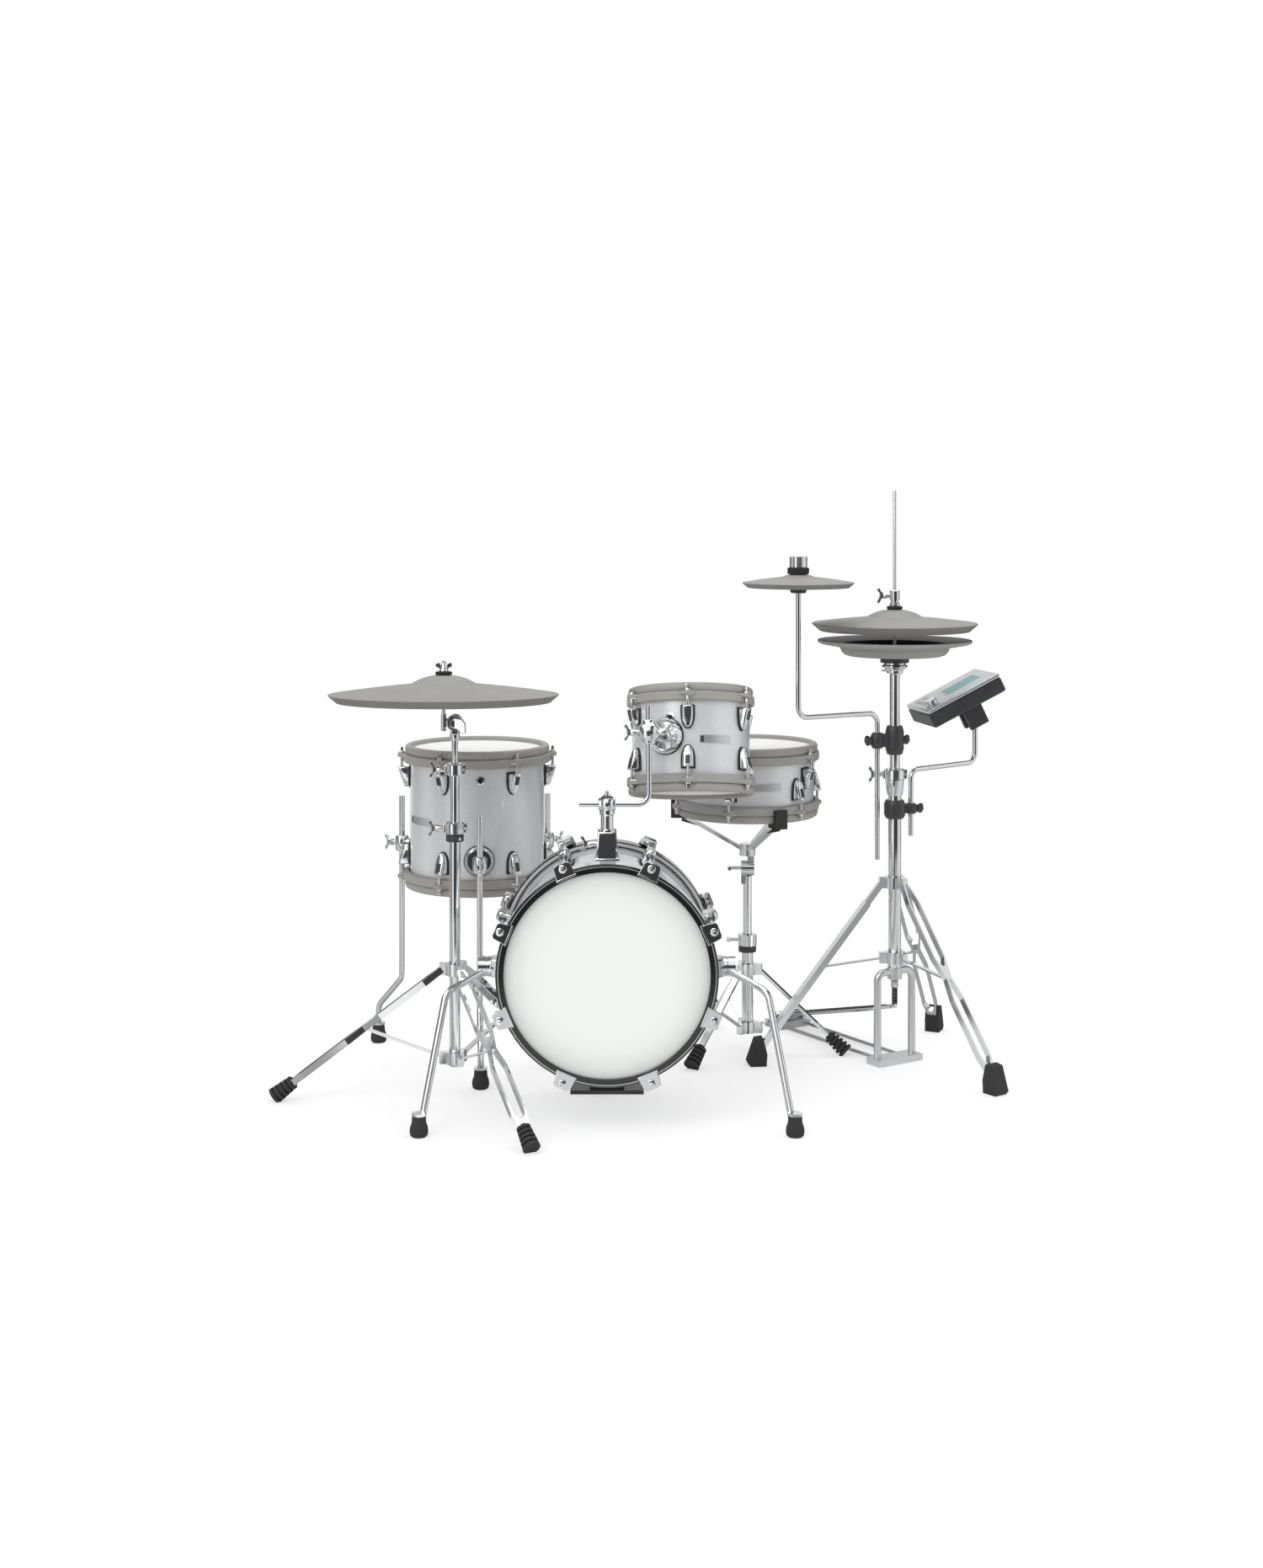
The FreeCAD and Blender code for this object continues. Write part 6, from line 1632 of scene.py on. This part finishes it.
    def make_pedal(self, frame: Matrix) -> None:
        """Make the footboard with its ribs and the eye at its heel.

        Args:
            frame: The stand's frame, with X towards the heel.
        """
        piece = Piece("hihat_footboard")
        rise = self.toe_z - self.heel_z
        run = self.heel_reach - self.toe_reach
        length = math.hypot(rise, run)
        heel = frame @ move(self.heel_reach, 0, self.heel_z)
        board = heel @ turn(Axis.Z, 180) @ turn(Axis.Y, -math.degrees(math.atan2(rise, run)))
        outline = mirrored([(0, -30), (10, -34.5), (length - 14, -35), (length - 3, -30), (length, -12),
                            (length + 29, -9.5)], Axis.X)
        piece.add(slab(Look.CAST_CHROME, outline, 6.6, 2), board)
        ribs = [board @ move(40 + 15 * index, 0, 2.9) for index in range(20)]
        piece.add(block(Look.BLACK_RUBBER, (7, 54, 1.6), 0.6), *ribs)
        piece.add(tube(Look.CAST_CHROME, 9, 5.05, -36, 36, 28), heel @ turn(Axis.X, 90))
        piece.make("pedal", "hihat_pedal")


@dataclass(kw_only=True)
class RodClamp:
    """A black clamp that holds an upright rod beside the hi-hat's tube, with two winged knobs."""

    name: str
    body: str
    node: str
    axis: Vector
    point: Vector
    tube_radius: float
    z: float
    height: float
    knob_turn: float = 0
    rod_radius: float = 5.4
    wall: float = 8.7

    def build(self) -> None:
        """Make the clamp."""
        piece = Piece(self.name)
        way = self.point - self.axis
        bearing = turn(Axis.Z, math.degrees(math.atan2(way.y, way.x)))
        centre = Matrix.Translation(self.axis) @ move(0, 0, self.z)
        small = Matrix.Translation(self.point) @ move(0, 0, self.z)
        half = self.height / 2
        piece.add(self.jaw(self.tube_radius + 0.2, half), centre)
        piece.add(self.jaw(self.rod_radius + 0.05, half * 0.55), small)
        gap = way.length - self.tube_radius - self.rod_radius - 3
        middle = (self.tube_radius + way.length - self.rod_radius) / 2
        piece.add(block(Look.BLACK_PLASTIC, (gap, 8.4, half * 0.9), 1.2),
                  *[centre @ bearing @ move(middle, side * 4.6, -half * 0.45) for side in (-1, 1)])
        self.add_knob(piece, centre @ bearing @ turn(Axis.Z, 180 + self.knob_turn), self.tube_radius)
        self.add_knob(piece, small @ bearing, self.rod_radius)
        piece.make(self.body, self.node)

    def jaw(self, bore: float, half: float) -> Part:
        """Make a round jaw with eased ends, half of it on each side of Z 0.

        Args:
            bore: Its inner radius.
            half: Half its height.

        Returns:
            The jaw.
        """
        outer = bore + self.wall
        lower = [(bore, -half), (outer - 4.5, -half), (outer - 3, 1.5 - half), (outer, -half * 0.6)]
        return lathe(Look.BLACK_PLASTIC, mirrored(lower, Axis.X), 44)

    def add_knob(self, piece: Piece, frame: Matrix, radius: float) -> None:
        """Add a winged knob that points along the frame's X.

        Args:
            piece: The piece that takes it.
            frame: The clamped bar's frame.
            radius: The bar's radius.
        """
        start = frame @ move(radius + 4.5, 0, 0) @ turn(Axis.Y, 90)
        hub = [(0, 4), (7.5, 4), (8.4, 6), (7.6, 15), (6, 17.6), (0, 17.8)]
        wing = mirrored([(0, 7), (4, 6.4), (10.8, 9), (11, 15), (8.4, 17.8), (4, 16)])
        piece.add(rod(Look.CHROME, 4, 0, 8, 18), start)
        piece.add(lathe(Look.BLACK_PLASTIC, hub, 28), start)
        piece.add(slab(Look.BLACK_PLASTIC, wing, 6, 1.6, 3), start @ turn(Axis.Z, 20) @ turn(Axis.X, 90))


@dataclass(kw_only=True)
class SplashArm:
    """The splash cymbal on its bent arm."""

    x: float
    y: float
    rod_radius: float = 5.6

    def build(self, kit: Kit) -> None:
        """Dress the arm and make the cymbal.

        Args:
            kit: The loaded kit.
        """
        place = move(self.x, self.y, 0)
        splash = PadCymbal(name="splash_pad", body="splash", node="splash_cymbal", frame=place, radius=118,
                           edge_z=1028.6, edge_height=11, bell_radius=34, bell_rise=17, bow_rise=12, hole=9.4,
                           felt_radius=23, felt_height=14)
        splash.build()
        knob_low = splash.crown + REST_GAP - 0.2
        kit.dress("splash_arm", Look.CHROME, (splash.on_cup(self.rod_radius + 0.1), Look.BLACK_PLASTIC),
                  (lambda spot: spot.z > knob_low, Look.CLEAR))
        piece = Piece("splash_washers")
        section = [(self.rod_radius, -11), (15, -11), (17, -9), (17, -4), (23, -4), (24, -3), (24, -1),
                   (23, 0), (self.rod_radius, 0)]
        piece.add(lathe(Look.BLACK_PLASTIC, section, 40), place @ move(0, 0, splash.edge_z - 0.5))
        piece.make("splash_arm")


@dataclass(kw_only=True)
class SoundModule:
    """The sound module with its panel, display, buttons and knob, on its tilting cheeks."""

    pivot: Matrix
    length: float = 184
    width: float = 140
    height: float = 34
    panel_height: float = 9

    def build(self, kit: Kit) -> None:
        """Dress the module.

        Args:
            kit: The loaded kit.
        """
        kit.dress("module_arm", Look.CHROME)
        case = self.pivot @ move(-18, 0, 44)
        panel = case @ move(0, 0, self.height)
        face = panel @ move(0, 0, self.panel_height)
        self.make_case(case)
        self.make_panel(panel, face)
        self.make_knob(face @ move(-68.1, -42, 0.3))

    def make_case(self, frame: Matrix) -> None:
        """Make the case with its jacks, vents and cheeks.

        Args:
            frame: The frame under the case.
        """
        piece = Piece("module_body")
        piece.add(block(Look.CASE, (self.length, self.width, self.height), 5), frame)
        cheeks = [self.pivot @ move(0, 17.3 * side, -12) for side in (-1, 1)]
        piece.add(block(Look.CASE, (46, 12, 56), 3), *cheeks)
        piece.add(rod(Look.STEEL, 6, -23, 23), self.pivot @ turn(Axis.X, 90))
        jack = [(0, -4), (3, -4), (3.2, 0.4), (5.2, 0.6), (6.6, 0), (6.6, -3), (0, -5)]
        jacks = [frame @ move(x, -self.width / 2 + 0.3, 15) @ turn(Axis.X, 90) for x in (-66, -40, 44, 70)]
        piece.add(lathe(Look.BLACK_PLASTIC, jack, 24), *jacks)
        slots = [frame @ move(self.length / 2 - 0.9, -40 + 10 * index, 10) for index in range(9)]
        piece.add(block(Look.BLACK_PLASTIC, (2, 4, 16), 0.6), *slots)
        piece.make("module", "module_case")

    def make_panel(self, frame: Matrix, face: Matrix) -> None:
        """Make the silver panel with its display and buttons.

        Args:
            frame: The frame under the panel.
            face: The frame on the panel.
        """
        piece = Piece("module_front")
        piece.add(block(Look.PANEL, (self.length, self.width, self.panel_height), 3, 0.985), frame)
        screen = face @ move(22.1, 0, 0)
        piece.add(block(Look.PANEL, (92, 62, 1.4), 0.6), screen @ move(0, 0, -0.8))
        piece.add(block(Look.DISPLAY, (84, 52, 1), 0.3), screen @ move(0, 0, -0.3))
        keys = [face @ move(-70 + 18 * index, row, -0.6) for index in range(2) for row in (-8, 10, 28, 46)]
        piece.add(block(Look.PANEL, (12, 9, 1.8), 0.7), *keys)
        piece.make("module", "module_panel")

    def make_knob(self, place: Matrix) -> None:
        """Make the silver knob with its grip.

        Args:
            place: The frame under the knob.
        """
        piece = Piece("module_dial")
        section = [(0, 0), (14.6, 0), (15, 1), (15, 2.4), (13.6, 3), (13, 11.4), (11.6, 13), (0, 13)]
        piece.add(lathe(Look.CHROME, section, 40), place)
        piece.add(block(Look.CHROME, (1.6, 2, 8.4), 0.5), *around(place, 20, move(13, 0, 3)))
        piece.make("module_knob", "module_knob")


@dataclass
class Studio:
    """The photograph's camera, its white room and its soft light, in metres."""

    eye: tuple[float, float, float] = (-0.0984, -4.4655, 1.226)
    sensor: float = 36
    lens: float = 49.03
    shift: tuple[float, float] = (0.0156, -0.185)
    aim: tuple[float, float, float] = (0, 0, 0.6)
    fill: float = 0.95
    floor_half: float = 3.2

    def build(self) -> None:
        """Set up the camera, the room, the lamps and the floor."""
        self.add_camera()
        self.make_room()
        self.add_lamp("key", (-1.8, -2.6, 3.4), size=2.2, power=42)
        self.add_lamp("top", (0.6, 0.6, 3.2), size=2.2, power=30)
        self.add_floor()
        bpy.context.scene.view_settings.view_transform = "Standard"

    def add_camera(self) -> None:
        """Add the camera."""
        data = bpy.data.cameras.new("camera")
        data.sensor_width = self.sensor
        data.lens = self.lens
        data.shift_x, data.shift_y = self.shift
        item = bpy.data.objects.new("camera", data)
        item.location = self.eye
        item.rotation_euler = (math.pi / 2, 0, 0)
        bpy.context.scene.collection.objects.link(item)
        bpy.context.scene.camera = item

    def make_room(self) -> None:
        """Make the room white to the camera, with soft dark strips for the chrome."""
        world = bpy.data.worlds.new("room")
        world.use_nodes = True
        bpy.context.scene.world = world
        graph = Graph(world.node_tree)
        way = graph.spot()
        depth = graph.component(way, Axis.Y) * 0.5 + 0.5
        front = self.greys(graph, depth, (0.0, 0.06), (0.03, 0.12), (0.08, 1.0))
        chrome = graph.light("ShaderNodeBackground", self.tone(graph, way) * front, 1.0)
        soft = graph.light("ShaderNodeBackground", WHITE, self.fill)
        white = graph.light("ShaderNodeBackground", WHITE, 1.0)
        lit = graph.mix(graph.ray(Ray.GLOSSY), soft, chrome)
        seen = graph.ray(Ray.CAMERA).either(graph.ray(Ray.TRANSMISSION))
        graph.node("ShaderNodeOutputWorld", {}, {"Surface": graph.mix(seen, lit, white)})

    def tone(self, graph: Graph, way: Wire) -> Wire:
        """Give what chrome mirrors in a direction: a pale room with bright and dark strips.

        Args:
            graph: The graph.
            way: The direction.

        Returns:
            The brightness.
        """
        height = graph.component(way, Axis.Z) * 0.5 + 0.5
        across = graph.component(way, Axis.X) * 0.5 + 0.5
        depth = graph.component(way, Axis.Y) * 0.5 + 0.5
        sky = self.greys(graph, height, (0.0, 0.8), (0.42, 0.85), (0.5, 0.7), (0.6, 0.8), (0.75, 1.0),
                         (1.0, 1.0))
        sides = self.greys(graph, across, (0.0, 0.4), (0.03, 0.1), (0.09, 0.06), (0.13, 0.5), (0.17, 0.9),
                           (0.24, 0.9), (0.29, 0.5), (0.6, 0.5), (0.66, 0.05), (0.8, 0.03),
                           (0.88, 0.4), (1.0, 0.5))
        back = self.greys(graph, depth, (0.0, 1.0), (0.64, 1.0), (0.72, 0.2), (0.88, 0.15), (0.95, 0.9),
                          (1.0, 1.0))
        return sky * sides * back * 2.0

    @staticmethod
    def greys(graph: Graph, value: Wire, *stops: tuple[float, float]) -> Wire:
        """Turn a value into a grey."""
        return graph.ramp(value, *[(place, (grey, grey, grey)) for place, grey in stops])

    def add_lamp(self, name: str, place: tuple[float, float, float], size: float, power: float) -> None:
        """Args:
            name: Its name.
            place: Where it is.
            size: The length of its side.
            power: Its power, in watts.
        """
        data = bpy.data.lights.new(name, "AREA")
        data.shape = "SQUARE"
        data.size = size
        data.energy = power
        item = bpy.data.objects.new(name, data)
        item.location = place
        item.rotation_euler = (Vector(self.aim) - Vector(place)).to_track_quat("-Z", "Y").to_euler()
        bpy.context.scene.collection.objects.link(item)

    def paint_floor(self, graph: Graph) -> None:
        """Fill the floor's graph: pale with a faint shadow, and strips where chrome mirrors it.

        Args:
            graph: The floor's graph.
        """
        matt = graph.node("ShaderNodeBsdfDiffuse", {}, {"Color": (0.9, 0.9, 0.9, 1)})
        glow = graph.light("ShaderNodeEmission", WHITE, 1.12)
        seen = graph.ray(Ray.CAMERA).either(graph.ray(Ray.TRANSMISSION))
        pale = graph.mix(seen * 0.5, matt, glow)
        spot = graph.spot()
        depth = graph.component(spot, Axis.Y) * 0.25 + 0.75
        near = self.greys(graph, depth, (0.0, 0.02), (0.33, 0.03), (0.41, 1.0), (1.0, 1.0))
        across = graph.component(spot, Axis.X) * 0.25 + 0.5
        beside = self.greys(graph, across, (0.0, 1.0), (0.32, 1.0), (0.37, 0.03), (0.58, 0.03), (0.63, 1.0),
                            (1.0, 1.0))
        way = graph.node("ShaderNodeVectorMath", {"operation": "NORMALIZE"}, {0: spot})
        lit = (self.tone(graph, way) * 0.62 + 0.36) * near.either(beside)
        strips = graph.light("ShaderNodeEmission", lit, 0.9)
        mixed = graph.mix(graph.ray(Ray.GLOSSY), pale, strips)
        graph.node("ShaderNodeOutputMaterial", {}, {"Surface": mixed})

    def add_floor(self) -> None:
        """Add the white floor."""
        mesh = bpy.data.meshes.new("floor")
        sheet = bmesh.new()
        bmesh.ops.create_grid(sheet, x_segments=1, y_segments=1, size=self.floor_half)
        sheet.to_mesh(mesh)
        sheet.free()
        finish = bpy.data.materials.new("floor")
        finish.use_nodes = True
        self.paint_floor(Graph(finish.node_tree))
        mesh.materials.append(finish)
        item = bpy.data.objects.new("floor", mesh)
        bpy.context.scene.collection.objects.link(item)


def make_toms() -> tuple[TomDrum, TomDrum, TomDrum]:
    """Give the rack tom, the floor tom and the snare at their places.

    Returns:
        The three drums, in that order.
    """
    arm_end = move(-15.4, ARM_Y, ARM_Z) @ turn(Axis.X, -12)
    bearing = turn(Axis.Z, ARM_BEARING)
    rack_frame = arm_end @ bearing @ move(-ARM_REACH, 0, 29.5) @ bearing.inverted()
    rack = TomDrum(name="rack_tom", body="rack_tom", frame=rack_frame, depth=220, shell=122, hoop=130,
                   rod_ring=136, lug_angle=-95, badge_angle=-68, badge_z=105.7, badge_sweep=32,
                   jack_angle=-112, jack_z=149.6)
    floor = TomDrum(name="floor_tom", body="kit", frame=move(-381.4, 194.5, 373), depth=308, shell=146,
                    hoop=157, rod_ring=164, lug_angle=4, badge_angle=-145, badge_z=152, badge_sweep=30,
                    jack_angle=-84, jack_z=246.4)
    snare = TomDrum(name="snare", body="snare", frame=move(SNARE_X, SNARE_Y, 519), depth=160, shell=146,
                    hoop=154.5, rod_ring=161, lug_angle=-36, low_offset=-12, badge_angle=-78, badge_z=77,
                    badge_sweep=28, jack_angle=30, jack_z=80)
    return rack, floor, snare


def build_drums(kit: Kit) -> None:
    """Build the drums with their mount, legs and spurs.

    Args:
        kit: The loaded kit.
    """
    rack, floor, snare = make_toms()
    for drum in (rack, floor, snare):
        drum.build(kit)
    BassDrum(frame=move(BASS_X, -55.5, BASS_Z) @ turn(Axis.X, 90)).build(kit)
    TomMount(rack=rack, base=Vector((BASS_X, ARM_Y, 503.2)), arm_z=ARM_Z, bearing=ARM_BEARING,
             reach=ARM_REACH).build(kit)
    spur_hub = Vector((BASS_X, -215.5, 286))
    LegFittings(floor_tom=floor, spur_hub=spur_hub, leg_angles=(-85, 40, 152.5)).build(kit)
    SnareStand(x=SNARE_X, y=SNARE_Y).build(kit)


def build_cymbals(kit: Kit) -> None:
    """Build the cymbals on their stands, and the module beside the hi-hat.

    Args:
        kit: The loaded kit.
    """
    CymbalStand(x=-404.4, y=-171.5).build(kit)
    HiHat(x=HIHAT_X, y=HIHAT_Y, heading=122.8).build(kit)
    axis = Vector((HIHAT_X, HIHAT_Y, 0))
    RodClamp(name="splash_holder", body="hihat_tube", node="splash_clamp", axis=axis,
             point=Vector((483.6, 134.5, 0)), tube_radius=11, z=695, height=62).build()
    RodClamp(name="module_holder", body="kit", node="module_clamp", axis=axis,
             point=Vector((558.6, 154.5, 0)), tube_radius=14, z=546, height=40, knob_turn=80).build()
    SplashArm(x=304.6, y=34.5).build(kit)
    SoundModule(pivot=move(720.6, 289.5, 722) @ turn(Axis.Z, 12) @ turn(Axis.Y, -26)).build(kit)


def main() -> None:
    """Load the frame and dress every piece."""
    logging.basicConfig(level=logging.INFO)
    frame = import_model()
    kit = Kit(frame)
    Studio().build()
    build_drums(kit)
    build_cymbals(kit)


if __name__ == "__main__":
    main()
